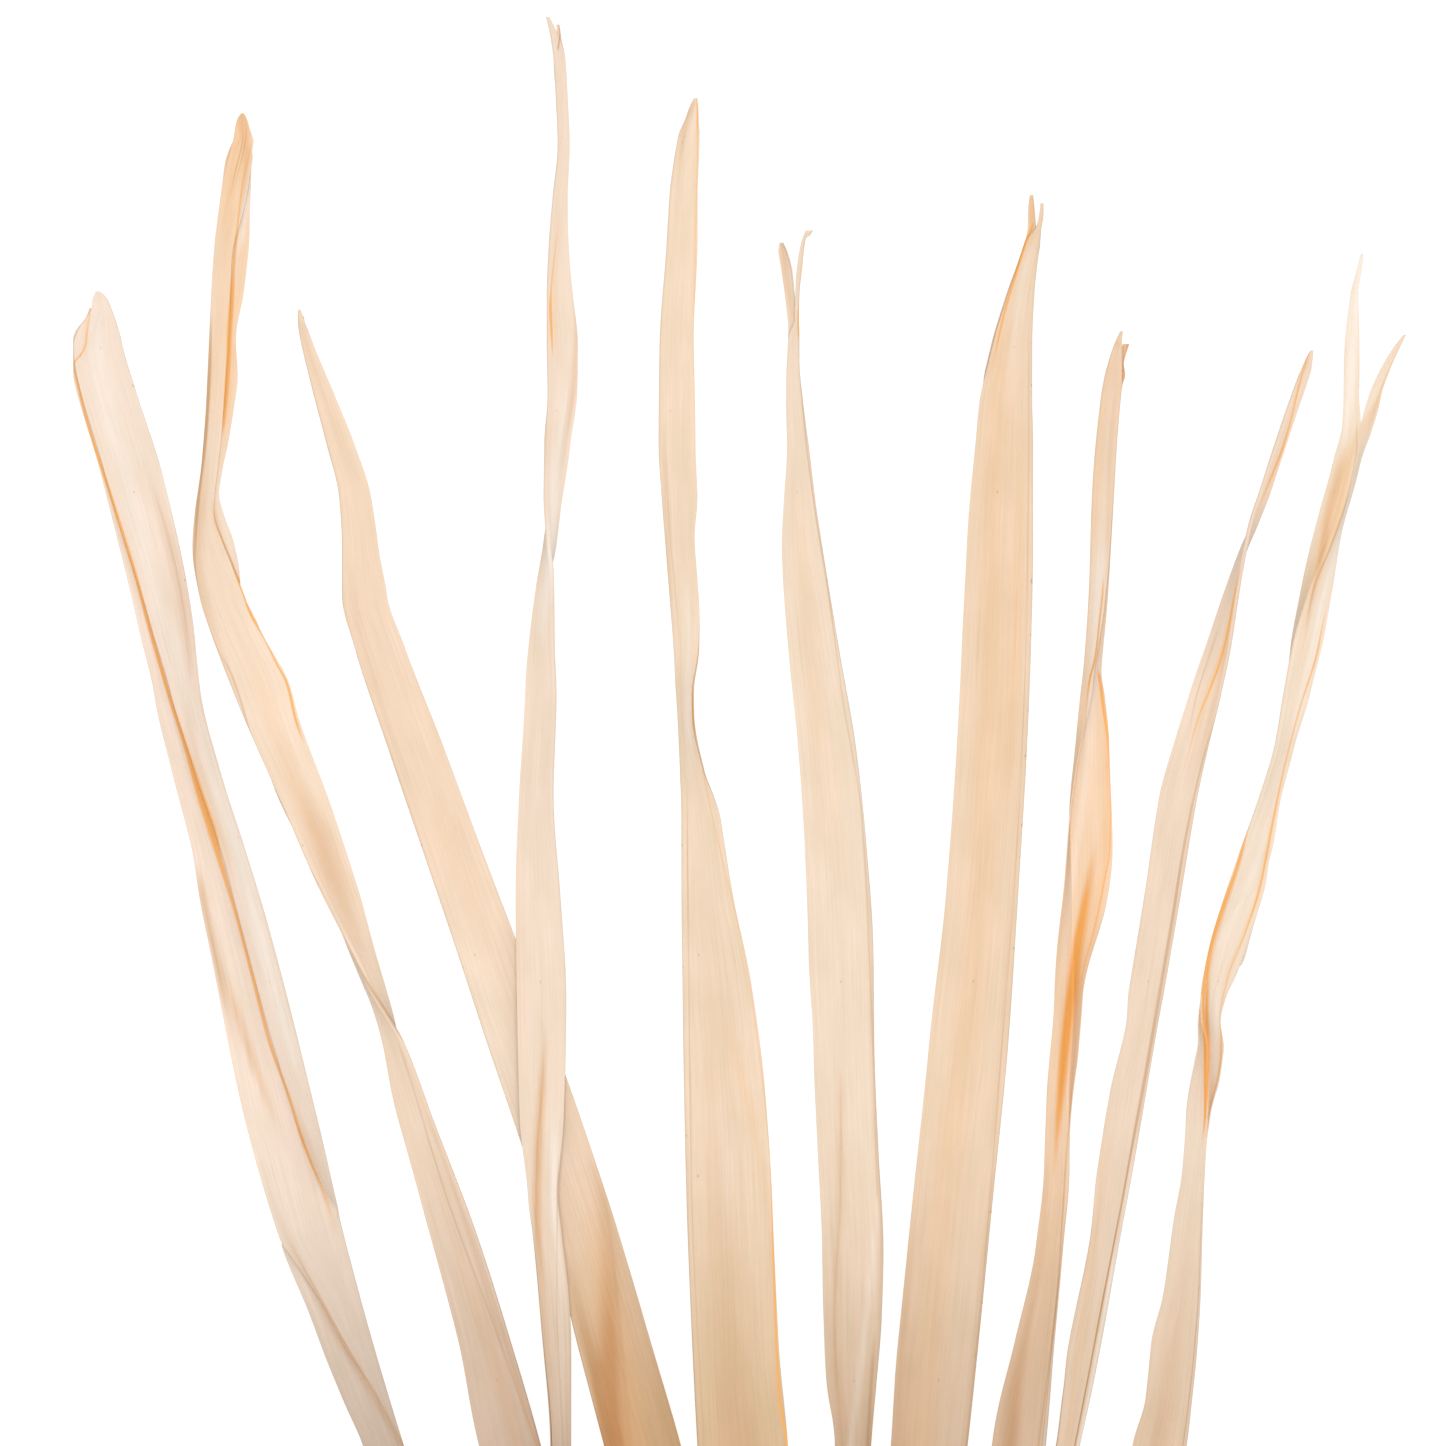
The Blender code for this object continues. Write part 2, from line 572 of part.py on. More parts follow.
def band_points():
    """Rows of points round the bundle, pressed in and out by the turns of raffia."""
    row_count = TIE_TURNS * TIE_ROWS_IN_TURN + 1
    up = np.linspace(-TIE_LENGTH / 2, TIE_LENGTH / 2, row_count)[:, None]
    around = np.linspace(0, 2 * np.pi, TIE_AROUND + 1)[None, :]
    turns = TIE_TURNS * (up / TIE_LENGTH + 0.5) + around / (2 * np.pi)
    corner = TIE_CORNER - TIE_RIDGE * np.cos(2 * np.pi * turns)
    side = np.clip(TIE_SIDE_REACH * np.cos(around), -TIE_CORE_HALF_WIDTH, TIE_CORE_HALF_WIDTH)
    rise = np.clip(TIE_SIDE_REACH * np.sin(around), -TIE_CORE_HALF_HEIGHT, TIE_CORE_HALF_HEIGHT)
    x = side + corner * np.cos(around)
    z = TIE_MIDDLE + rise + corner * np.sin(around)
    return np.stack(np.broadcast_arrays(x, up, z), axis=-1)


def tail_points(track):
    """Two edges of a loose end, as rows of points along it."""
    along = np.linspace(track[0][0], track[-1][0], TAIL_ROWS + 1)
    x, y, z, width, tilt = (smooth_track(track, column, along) for column in range(1, 6))
    middle = np.stack([x, y, z], axis=1)
    forward = np.gradient(middle, axis=0)
    flat = np.stack([-forward[:, 1], forward[:, 0], np.zeros(len(x))], axis=1)
    flat /= np.linalg.norm(flat, axis=1)[:, None]
    radians = np.radians(tilt)
    edge = flat * np.cos(radians)[:, None] + np.array([0, 0, 1]) * np.sin(radians)[:, None]
    reach = edge * (width / 2)[:, None]
    return np.stack([middle - reach, middle + reach], axis=1)


def knot(material, collection):
    """A flattened ball of raffia on top of the band."""
    mesh = bmesh.new()
    bmesh.ops.create_uvsphere(mesh, u_segments=14, v_segments=8, radius=0.5)
    bmesh.ops.scale(mesh, verts=mesh.verts, vec=Vector(KNOT_SIZE) * MILLIMETRE)
    place = Vector(in_the_box(np.array(KNOT_MIDDLE))) * MILLIMETRE
    bmesh.ops.translate(mesh, verts=mesh.verts, vec=place)
    data = bpy.data.meshes.new("raffia_knot")
    mesh.to_mesh(data)
    mesh.free()
    data.materials.append(material)
    data.shade_smooth()
    knot_object = bpy.data.objects.new("raffia_knot", data)
    collection.objects.link(knot_object)


def build_tie(material, collection):
    """The wound band with its knot and loose ends, joined to one body."""
    extras = new_collection("tie_extras")
    knot(material, extras)
    for track in TAILS:
        thick_sheet("raffia_end", [tail_points(track)], TAIL_THICKNESS, material, extras)
    band = thick_sheet("raffia_band", [band_points()], TIE_THICKNESS, material, extras)
    extras.objects.unlink(band)
    collection.objects.link(band)
    join = band.modifiers.new("Join", "BOOLEAN")
    join.operation = "UNION"
    join.operand_type = "COLLECTION"
    join.collection = extras
    join.solver = "EXACT"
    tie = bpy.data.objects.new("raffia_tie", finished_shape(band))
    collection.objects.link(tie)
    bpy.data.objects.remove(band, do_unlink=True)
    for item in list(extras.objects):
        bpy.data.objects.remove(item, do_unlink=True)
    bpy.data.collections.remove(extras)


def main():
    clear_scene()
    collection = new_collection("dried_palm_leaf_bouquet")
    leaf_material = principled("bleached_palm_leaf", LEAF_COLOUR, LEAF_ROUGHNESS)
    raffia_material = principled("raffia", RAFFIA_COLOUR, RAFFIA_ROUGHNESS)
    build_leaves(leaf_material, collection)
    build_tie(raffia_material, collection)


main()
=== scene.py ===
# %% [markdown]
# # Dried palm leaf bouquet
# Ten folded palm leaflets, dried to the colour of cream and straw, lie in a flat fan on a white
# surface. Their stalks run together below the picture, where a raffia tie holds them.
#
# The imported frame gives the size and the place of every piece. It is loaded first, and its box is
# kept, because the finished picture has to have the same size.

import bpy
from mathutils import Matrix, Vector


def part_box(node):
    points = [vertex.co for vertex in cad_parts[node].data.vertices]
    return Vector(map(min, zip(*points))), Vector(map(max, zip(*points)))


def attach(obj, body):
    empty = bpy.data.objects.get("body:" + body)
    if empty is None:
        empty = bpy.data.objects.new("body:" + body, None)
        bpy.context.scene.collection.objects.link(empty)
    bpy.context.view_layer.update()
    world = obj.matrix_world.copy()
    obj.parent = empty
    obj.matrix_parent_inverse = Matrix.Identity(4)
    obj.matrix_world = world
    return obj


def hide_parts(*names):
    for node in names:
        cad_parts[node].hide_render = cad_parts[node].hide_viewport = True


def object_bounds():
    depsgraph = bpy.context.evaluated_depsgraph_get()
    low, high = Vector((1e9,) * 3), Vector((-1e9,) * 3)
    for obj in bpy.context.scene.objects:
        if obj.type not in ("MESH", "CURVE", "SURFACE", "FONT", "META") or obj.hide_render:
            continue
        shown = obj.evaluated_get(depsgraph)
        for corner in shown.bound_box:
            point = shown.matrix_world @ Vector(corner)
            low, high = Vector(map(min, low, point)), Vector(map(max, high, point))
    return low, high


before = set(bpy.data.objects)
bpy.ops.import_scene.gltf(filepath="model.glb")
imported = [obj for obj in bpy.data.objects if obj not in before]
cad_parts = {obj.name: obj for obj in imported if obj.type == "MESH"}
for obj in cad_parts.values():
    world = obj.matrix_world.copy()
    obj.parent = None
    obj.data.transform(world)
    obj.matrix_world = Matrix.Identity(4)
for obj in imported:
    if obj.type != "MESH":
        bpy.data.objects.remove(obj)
cad_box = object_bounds()
print("nodes:", len(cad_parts), "box:", cad_box)

# %% [markdown]
# Blender measures in metres. NumPy does the sums for whole rows of points at once.

import bpy
import numpy as np

MM = 0.001
print("Blender", bpy.app.version_string, "- one millimetre is", MM)

# %% [markdown]
# All shapes below are drawn in millimetres round the middle of the tie, with Y up the leaves.
# The frame has its origin in the middle of the footprint instead, so each finished shape is moved
# by this much.

# %% The middle of the footprint, seen from the tie
BOX_MIDDLE = np.array([-24.437, 466.059, 0.0])
print("the tie is", round(BOX_MIDDLE[1]), "mm below the middle of the bouquet")

# %% [markdown]
# A track is a short list of keys along a leaf. Between its keys a value follows a smooth curve that
# never swings past them, because a dried leaf bends evenly and has no wobble of its own.

# %% Read a track
def smooth_track(keys, column, at):
    """One column of a track at the given places."""
    x = np.array([key[0] for key in keys], dtype=float)
    y = np.array([key[column] for key in keys], dtype=float)
    step = np.diff(x)
    slope = np.diff(y) / step
    tangent = np.zeros(len(x))
    tangent[0] = slope[0]
    tangent[-1] = slope[-1]
    for i in range(1, len(x) - 1):
        if slope[i - 1] * slope[i] > 0:
            before = 2 * step[i] + step[i - 1]
            after = step[i] + 2 * step[i - 1]
            tangent[i] = (before + after) / (before / slope[i - 1] + after / slope[i])
    i = np.clip(np.searchsorted(x, at, side="right") - 1, 0, len(step) - 1)
    u = np.clip((at - x[i]) / step[i], 0, 1)
    start = (2 * u**3 - 3 * u**2 + 1) * y[i] + (u**3 - 2 * u**2 + u) * step[i] * tangent[i]
    end = (3 * u**2 - 2 * u**3) * y[i + 1] + (u**3 - u**2) * step[i] * tangent[i + 1]
    return start + end


print("from 0 to 4 by way of 3:", smooth_track(((0, 0), (1, 3), (2, 4)), 1, np.linspace(0, 2, 5)).round(2))

# %% [markdown]
# Each leaflet is one blade folded along its midrib. Its track has, in mm and degrees: the place up
# the bunch, the place across it, the height of the midrib, the width of the folded blade, the roll,
# the gape and the cup. Roll is the way that the fold opens: 0 to the right, 90 upward, 180 to the
# left. Gape is the angle between the two halves, and cup is how far they bow across.
# The two halves part at the tip, so each tip has a short track of its own: up, across, height,
# width and lean.

# %% Lay out a leaflet
LEFT, RIGHT = 1, -1
LEAVES = {}


def leaf_name(number):
    """The name of a leaflet in the frame. They are numbered from left to right by their tips."""
    return f"palm_leaf_{number:02d}"


def lay_out(number, blade, left_tip, right_tip):
    """Keep the tracks of a leaflet, and say how long its blade is and how wide when folded."""
    LEAVES[number] = {"blade": blade, LEFT: left_tip, RIGHT: right_tip}
    length = blade[-1][0] - blade[0][0]
    print(leaf_name(number), "is", length, "mm long and", max(key[3] for key in blade), "mm wide")


# %% [markdown]
# The first leaflet is the outermost on the left. Its fold opens to the left and upward, and gapes
# wide along the middle, so that the inside of its lower half shows.

# %% Leaflet 1
lay_out(
    1,
    blade=(
        (-58, -0.6, 2.7, 9.6, 180, 0, 0), (12, -0.6, 2.7, 10, 180, 0, 0), (60, -18, 2.8, 12, 180, 1, 0),
        (150, -58, 3.2, 16, 179, 3, 0), (300, -117, 4.5, 22, 165, 6, 3), (421, -158.8, 5, 25, 125, 9, 6),
        (464, -171.6, 5, 25, 138, 22, 8), (508, -183.4, 5, 27.6, 132, 66, 8),
        (552, -193.6, 5, 29, 141, 68, 6), (632, -214, 4.5, 25.6, 141, 52, 6),
        (662, -223.2, 4.1, 23.8, 132, 36, 6), (692, -232.8, 3.6, 24.5, 127, 25, 6),
        (722, -240.4, 3, 24.5, 128, 18, 5), (752, -243.6, 2.5, 25, 143, 17, 4),
        (812, -256, 2, 25, 165, 14, 3), (842, -265.6, 2.2, 24.4, 164, 13, 3),
        (862, -271.6, 3, 21.2, 166, 14, 3), (868, -273, 3.4, 17.5, 168, 14, 3),
    ),
    left_tip=((873, -277.5, 3, 9, 176), (877, -283, 3.2, 2, 178)),
    right_tip=((876, -275.6, 5.4, 9.2, 164), (881, -277.8, 6.2, 6, 164), (883.6, -280.6, 6.8, 1.8, 166)),
)

# %% [markdown]
# The second leans left and turns over once on its way. Above the turn it is a narrow spear.

# %% Leaflet 2
lay_out(
    2,
    blade=(
        (-56, -0.6, 5.1, 10.3, 180, 0, 0), (12, -0.6, 5.1, 10.8, 180, 0, 0), (60, -11.5, 5.5, 13, 180, 1, 0),
        (150, -37, 7, 16, 180, 3, 0), (300, -77, 9, 21, 182, 6, 2), (421, -103.6, 12, 25, 187, 8, 4),
        (464, -116, 15, 22.2, 203, 8, 6), (508, -130, 18, 21.6, 215, 8, 6),
        (552, -146.8, 21, 19.2, 231, 12, 4), (584, -159.2, 22.5, 20, 256, 16, 0),
        (604, -171.2, 22.8, 20, 275, 21, 0), (616, -176.8, 23, 20, 279, 26, 0),
        (646, -192, 23.5, 21.5, 294, 38, 0), (680, -206.8, 24, 21.8, 298, 60, 0),
        (712, -221.2, 23, 22.4, 312, 58, 0), (732, -229.6, 20.2, 24.4, 338, 57, 1),
        (750, -236.4, 17, 23.8, 360, 55, 2), (760, -239.6, 15, 21, 371, 54, 2),
        (782, -242.8, 11, 17.2, 390, 36, 2), (795, -241.9, 9, 11.5, 389, 34, 2),
        (804, -240.7, 7.4, 8.5, 382.5, 21, 2), (813, -239.5, 6.2, 8.8, 385, 25, 0),
        (822, -238.7, 5.4, 9.9, 387.5, 31, 0), (839, -237.5, 4.4, 11.5, 390.5, 37, 0),
        (848, -237.1, 4, 12.3, 391.5, 39, 0), (866, -236.3, 4, 10.8, 386.5, 29, 0),
        (883, -235.5, 4, 13.1, 392, 40, 0), (901, -234.3, 4.2, 14, 394.5, 45, 0),
        (918, -232.3, 4.8, 12.7, 393, 42, 0), (927, -231.1, 5.2, 12, 388.5, 33, 0),
        (936, -229.9, 5.8, 11.1, 373.5, 3, 0),
    ),
    left_tip=(
        (938, -229.2, 6, 10.6, 14), (941, -228, 6.4, 9.6, 13), (943.5, -226.9, 6.7, 8.9, 12),
        (946, -226.3, 7, 7.6, 12), (949, -225.9, 7.4, 6.2, 12), (952, -225.2, 7.9, 4.6, 12),
        (954, -224.2, 8.3, 2.6, 12), (954.8, -223.4, 8.6, 1, 12),
    ),
    right_tip=((938, -229.2, 5.8, 10.4, 9), (941, -228.2, 6, 8.6, 9), (942.5, -227.5, 6.1, 6, 9)),
)

# %% [markdown]
# The third is broad, and its upper half bows up like a gutter near the foot.

# %% Leaflet 3
lay_out(
    3,
    blade=(
        (-61, -11.6, 7.5, 10.5, 0, 0, 0), (12, -11.6, 7.5, 11, 0, 0, 0), (60, -13.2, 8, 12.4, 0, 1, 0),
        (120, -17, 9, 16, 1, 3, 2), (200, -27, 11, 21, 2, 5, 8), (300, -47, 12.5, 27, 3, 6, 18),
        (421, -78, 13, 33, 4, 6, 36), (462, -88.8, 12.5, 31.6, 4, 7, 34), (502, -98.8, 12, 29, 4, 7, 26),
        (542, -111.2, 11, 27.8, 4, 8, 14), (582, -124.8, 9.5, 27.2, 5, 8, 6), (622, -138, 8.5, 25.6, 6, 8, 3),
        (662, -151.6, 7.5, 24, 7, 9, 2), (702, -165.2, 6.5, 22.8, 8, 9, 2), (742, -178.4, 5.5, 20.4, 9, 9, 2),
        (762, -183.2, 5.5, 18.4, 9, 8, 2), (782, -183.2, 6, 14.8, 8, 8, 2), (802, -184.4, 7, 13, 6, 8, 2),
        (822, -189.2, 8, 11.4, 3, 8, 2), (842, -194.4, 10, 8.6, 0, 8, 0), (862, -199.2, 12.5, 5, -2, 8, 0),
        (867, -200.2, 13.2, 4.2, -2, 8, 0),
    ),
    left_tip=((871, -200.6, 15, 3, 4), (876, -200.6, 16.4, 1.3, 6)),
    right_tip=((870, -199.9, 12.6, 2.4, -10), (873.4, -199.4, 12.6, 1.2, -12)),
)

# %% [markdown]
# The fourth starts on its edge, crosses over the third in front, and turns over below its tip.

# %% Leaflet 4
lay_out(
    4,
    blade=(
        (-55, -0.6, 9.9, 10.3, 180, 0, 0), (12, -0.6, 9.9, 10.8, 180, 0, 0), (80, -13, 11, 12.5, 180, 1, 0),
        (150, -35, 14, 14.5, 178, 3, 0), (250, -66, 16.5, 17, 165, 6, 0), (350, -88, 17.5, 19, 130, 9, 2),
        (421, -92, 17.5, 19, 108, 10, 4), (464, -91.9, 17.5, 19, 121, 10, 8),
        (480, -92.6, 17.5, 17.6, 128, 10, 9), (508, -95.6, 17.5, 14.6, 140, 9, 12),
        (522, -97, 17.5, 14, 147, 9, 12), (552, -94.6, 17.5, 18.6, 161, 8, 12),
        (600, -93.6, 17, 20.2, 168, 8, 6), (642, -96, 16, 18, 186, 8, 3), (682, -98.8, 15, 14.5, 204, 8, 2),
        (722, -97.6, 15.5, 13.5, 207, 8, 2), (742, -98.4, 16, 13, 225, 10, 0),
        (762, -98.8, 16, 12.6, 244, 14, 0), (772, -99.2, 16, 12.4, 256, 17, 0),
        (780, -100.4, 15.5, 12.2, 270, 19, 0), (790, -101.2, 15, 12.1, 281, 19, 0),
        (802, -102, 14, 12, 296, 16, 0), (822, -102, 11.5, 12, 320, 12, 0),
        (842, -100.8, 9, 12.2, 338, 12, 0), (862, -101.2, 7, 12.6, 349, 12, 0),
        (882, -101.2, 6, 10.6, 352, 12, 0), (902, -100.4, 6, 8.2, 354, 10, 0),
        (922, -98.8, 7, 6.2, 355, 9, 0), (942, -96.8, 9, 5, 355, 8, 0), (962, -97.6, 12, 5, 355, 8, 0),
        (976, -98.4, 14.5, 5, 355, 8, 0),
    ),
    left_tip=((984, -99.4, 16.6, 3.6, 360), (989, -100.4, 17.8, 2.6, 360), (993, -101.4, 18.8, 1.3, 360)),
    right_tip=((982, -97, 15.2, 2.6, 345), (990, -97.2, 16, 1.3, 340)),
)

# %% [markdown]
# The fifth is the widest at the foot. It stands on its fold at a waist halfway up the picture.

# %% Leaflet 5
lay_out(
    5,
    blade=(
        (-59, -10.6, 12.3, 9.6, 0, 0, 0), (12, -10.6, 12.3, 10, 0, 0, 0), (60, -12, 13.9, 12, 0, 1, 0),
        (120, -17, 16.2, 16, 0, 2, 0), (200, -24, 18, 22, 0, 3, 1), (300, -33, 20.5, 30, 1, 4, 2),
        (421, -40.8, 19.5, 36.4, 3, 5, 3), (464, -43, 18, 34.8, 5, 5, 3), (520, -45.2, 14.5, 34.6, 8, 6, 3),
        (564, -46.2, 11.5, 32.8, 10, 7, 3), (604, -46.8, 9, 28.6, 14, 8, 3),
        (644, -47.2, 6.5, 22.2, 27, 9, 3), (672, -47.2, 5, 18.6, 35, 10, 3), (692, -47.6, 4.4, 17, 61, 9, 2),
        (712, -48.4, 4, 15.6, 72, 8, 0), (724, -49.2, 4, 15, 68, 8, 0), (742, -50.4, 4, 13.2, 42, 9, 0),
        (762, -52, 4.4, 13.4, 31, 9, 0), (782, -53.6, 5, 13.4, 30, 8, 2), (802, -55.2, 5.6, 15.4, 22, 8, 2),
        (822, -56.4, 6.5, 15.2, 12, 8, 2), (862, -56, 8.5, 13.9, 6, 8, 2), (902, -53.2, 11, 12.6, 4, 8, 2),
        (922, -52, 12.5, 11.4, 3, 8, 2), (942, -49.2, 14.5, 9.4, 2, 8, 0), (946, -48.4, 15, 8.6, 2, 8, 0),
    ),
    left_tip=((952, -45.8, 15.9, 5.7, 4), (957, -44, 16.5, 3.7, 4), (960.5, -42.2, 17.1, 1.4, 4)),
    right_tip=((952, -45.8, 15.4, 5.6, -4), (957, -44, 16, 3.6, -6), (960.4, -42.2, 16.6, 1.4, -6)),
)

# %% [markdown]
# The sixth lies flat and opens to the left. Its tip has split into two threads.

# %% Leaflet 6
lay_out(
    6,
    blade=(
        (-54, 10.6, 12.3, 9.6, 180, 0, 0), (12, 10.6, 12.3, 10, 180, 0, 0), (60, 11, 13.6, 11, 180, 1, 0),
        (120, 13, 15, 13, 180, 2, 0), (200, 16.5, 18, 16, 178, 4, 0), (300, 22, 19, 19.5, 158, 7, 2),
        (421, 28, 15, 21.6, 128, 9, 4), (448, 30.4, 14.5, 24, 144, 9, 5), (472, 32.4, 14, 24.8, 157, 9, 6),
        (500, 33.2, 13, 25, 169, 8, 8), (540, 31.2, 12, 24.6, 174, 8, 9), (580, 29.6, 11, 24.6, 176, 8, 8),
        (620, 29.2, 10, 26.2, 177, 8, 5), (660, 26.6, 8.5, 25, 177, 8, 4), (700, 22.4, 7.5, 23.4, 176, 9, 3),
        (740, 15.6, 6.5, 20.6, 175, 10, 3), (780, 9, 6, 16.6, 174, 11, 2), (800, 6, 6.4, 12.8, 172, 12, 2),
        (820, 3.6, 7, 9.2, 168, 14, 0), (840, 1, 8.4, 7, 166, 16, 0), (856, -0.4, 9.8, 5.2, 166, 18, 0),
        (866, -0.4, 10.8, 4.6, 168, 20, 0),
    ),
    left_tip=(
        (872, -1.2, 10.2, 4, 182), (882, -2.2, 9.8, 4.2, 184), (892, -3.2, 9.6, 4.6, 186),
        (899, -5, 9.6, 4, 186), (903, -6.8, 9.6, 1.6, 186),
    ),
    right_tip=(
        (872, -0.6, 12.6, 1.8, 168), (882, -0.4, 14, 1.8, 165), (892, 0.6, 15.2, 2.4, 162),
        (902, 1.7, 16.4, 1.8, 162), (905.4, 2.5, 16.9, 1.3, 162), (906.2, 4.2, 17.1, 3, 166),
        (907.6, 5, 17.2, 3.2, 172),
    ),
)

# %% [markdown]
# The seventh is a plain flat blade, nearly the same width all the way.

# %% Leaflet 7
lay_out(
    7,
    blade=(
        (-60, 11.4, 9.9, 10.3, 180, 0, 0), (12, 11.4, 9.9, 10.8, 180, 0, 0), (60, 16, 10.6, 13, 180, 1, 0),
        (120, 24.5, 12, 16, 180, 2, 0), (200, 36, 13.5, 21, 180, 4, 1), (300, 51, 13.5, 26.5, 178, 6, 2),
        (421, 66.8, 11.5, 31, 175, 7, 3), (462, 71.2, 10.5, 32.6, 174, 8, 3),
        (522, 77.2, 8.5, 32.4, 174, 8, 3), (582, 83.2, 6.8, 32, 174, 8, 3), (642, 87.2, 5.5, 29.2, 174, 8, 3),
        (702, 90.8, 4.8, 28.4, 174, 8, 3), (742, 92.4, 4.5, 28, 174, 8, 3), (782, 93.2, 4.8, 26.8, 174, 8, 3),
        (822, 93.2, 5.6, 23.4, 174, 9, 3), (842, 92.8, 6.4, 21, 173, 10, 3),
        (862, 92.8, 7.6, 16.6, 172, 12, 2), (882, 93.6, 9.2, 11.4, 171, 14, 0),
        (896, 95, 10.6, 7.8, 171, 16, 0), (904, 96, 11.5, 6.2, 171, 18, 0),
    ),
    left_tip=((909, 94.4, 11.2, 3.6, 182), (916, 93.8, 11.4, 2.9, 184), (922, 93.2, 11.8, 1.5, 184)),
    right_tip=((909, 96.4, 13.2, 2.4, 168), (914, 97.2, 14.2, 1.9, 168), (918.6, 97.2, 15, 1.2, 168)),
)

# %% [markdown]
# The eighth stands on its fold like a gutter, open upward, and then closes to the right.

# %% Leaflet 8
lay_out(
    8,
    blade=(
        (-56, 11.6, 7.5, 10.5, 180, 0, 0), (12, 11.6, 7.5, 11, 180, 0, 0), (60, 19, 7.9, 12, 180, 1, 0),
        (120, 36, 9, 13, 180, 2, 0), (200, 58, 11.5, 14.5, 180, 4, 0), (300, 79, 12.5, 17, 178, 6, 1),
        (360, 88.9, 11.5, 19, 174, 8, 3), (421, 98.2, 7.5, 22, 166, 9, 4), (462, 101.6, 6, 19.8, 137, 12, 3),
        (502, 105.2, 4.5, 18, 118, 14, 0), (532, 107.6, 3.6, 17, 112, 24, 0), (560, 107.4, 3, 16, 102, 38, 0),
        (600, 109.4, 3, 15.2, 98, 40, 0), (640, 109.4, 3.6, 18, 72, 60, 0), (672, 108.4, 5, 17.2, 53, 75, 0),
        (702, 110.8, 5.4, 14, 52, 60, 0), (722, 112.8, 5.2, 12.4, 57, 26, 0), (732, 114, 5, 11.6, 65, 16, 0),
        (762, 116, 5.4, 11, 56, 14, 0), (802, 117.2, 6, 10.6, 41, 13, 0), (842, 120.8, 8, 9, 33, 12, 0),
        (849, 122, 8.6, 8.6, 28, 12, 0),
    ),
    left_tip=((856, 123.8, 11.2, 6, 28), (862, 125.8, 12.8, 3.8, 28), (867.4, 128.2, 14, 1.3, 28)),
    right_tip=((856, 126.4, 8.4, 3.6, 12), (862.5, 129.4, 8.4, 2.6, 10)),
)

# %% [markdown]
# The ninth is a narrow blade that turns over near its tip.

# %% Leaflet 9
lay_out(
    9,
    blade=(
        (-55, 11.4, 5.1, 10.3, 180, 0, 0), (12, 11.4, 5.1, 10.8, 180, 0, 0), (60, 20, 5.3, 11, 180, 1, 0),
        (120, 40, 5.8, 11, 180, 2, 0), (200, 62, 5.8, 11, 178, 3, 0), (300, 87, 4.8, 11, 172, 5, 0),
        (360, 99.8, 4, 11.4, 156, 7, 0), (421, 111.8, 4, 12.4, 138, 9, 2), (442, 116.4, 4, 15, 137, 9, 2),
        (462, 120.4, 4, 16.2, 142, 9, 2), (502, 127.6, 4, 14.6, 144, 9, 2), (532, 133.2, 4, 16, 153, 9, 3),
        (562, 138.4, 4, 15.8, 158, 9, 3), (590, 143.2, 4, 13.8, 159, 9, 3), (604, 145.8, 4, 15.2, 160, 9, 3),
        (642, 152.4, 4, 15.6, 160, 9, 3), (682, 159.2, 4.6, 16.2, 162, 9, 3),
        (702, 163.6, 5.6, 14.6, 170, 9, 3), (722, 168.4, 7.4, 13, 190, 10, 2),
        (742, 172.4, 9.4, 11, 214, 12, 0), (762, 175.2, 10.6, 8.6, 238, 14, 0),
        (782, 178.4, 10.6, 6.5, 270, 15, 0), (792, 180.4, 10.2, 5.8, 298, 14, 0),
        (802, 183.6, 9.8, 5.3, 318, 12, 0), (822, 190, 9.6, 5.1, 330, 12, 0),
        (842, 196.8, 10, 4.9, 335, 14, 0), (851, 200.2, 10.6, 4.4, 336, 16, 0),
    ),
    left_tip=((855.5, 202, 11.8, 3.2, 345), (859.8, 204.2, 12.8, 1.3, 345)),
    right_tip=((855, 202.2, 10.4, 2.6, 325), (858.2, 203.8, 10.6, 1.2, 322)),
)

# %% [markdown]
# The tenth is the outermost on the right. It stands on its fold, turns over to the right, and its
# tip has split wide open.

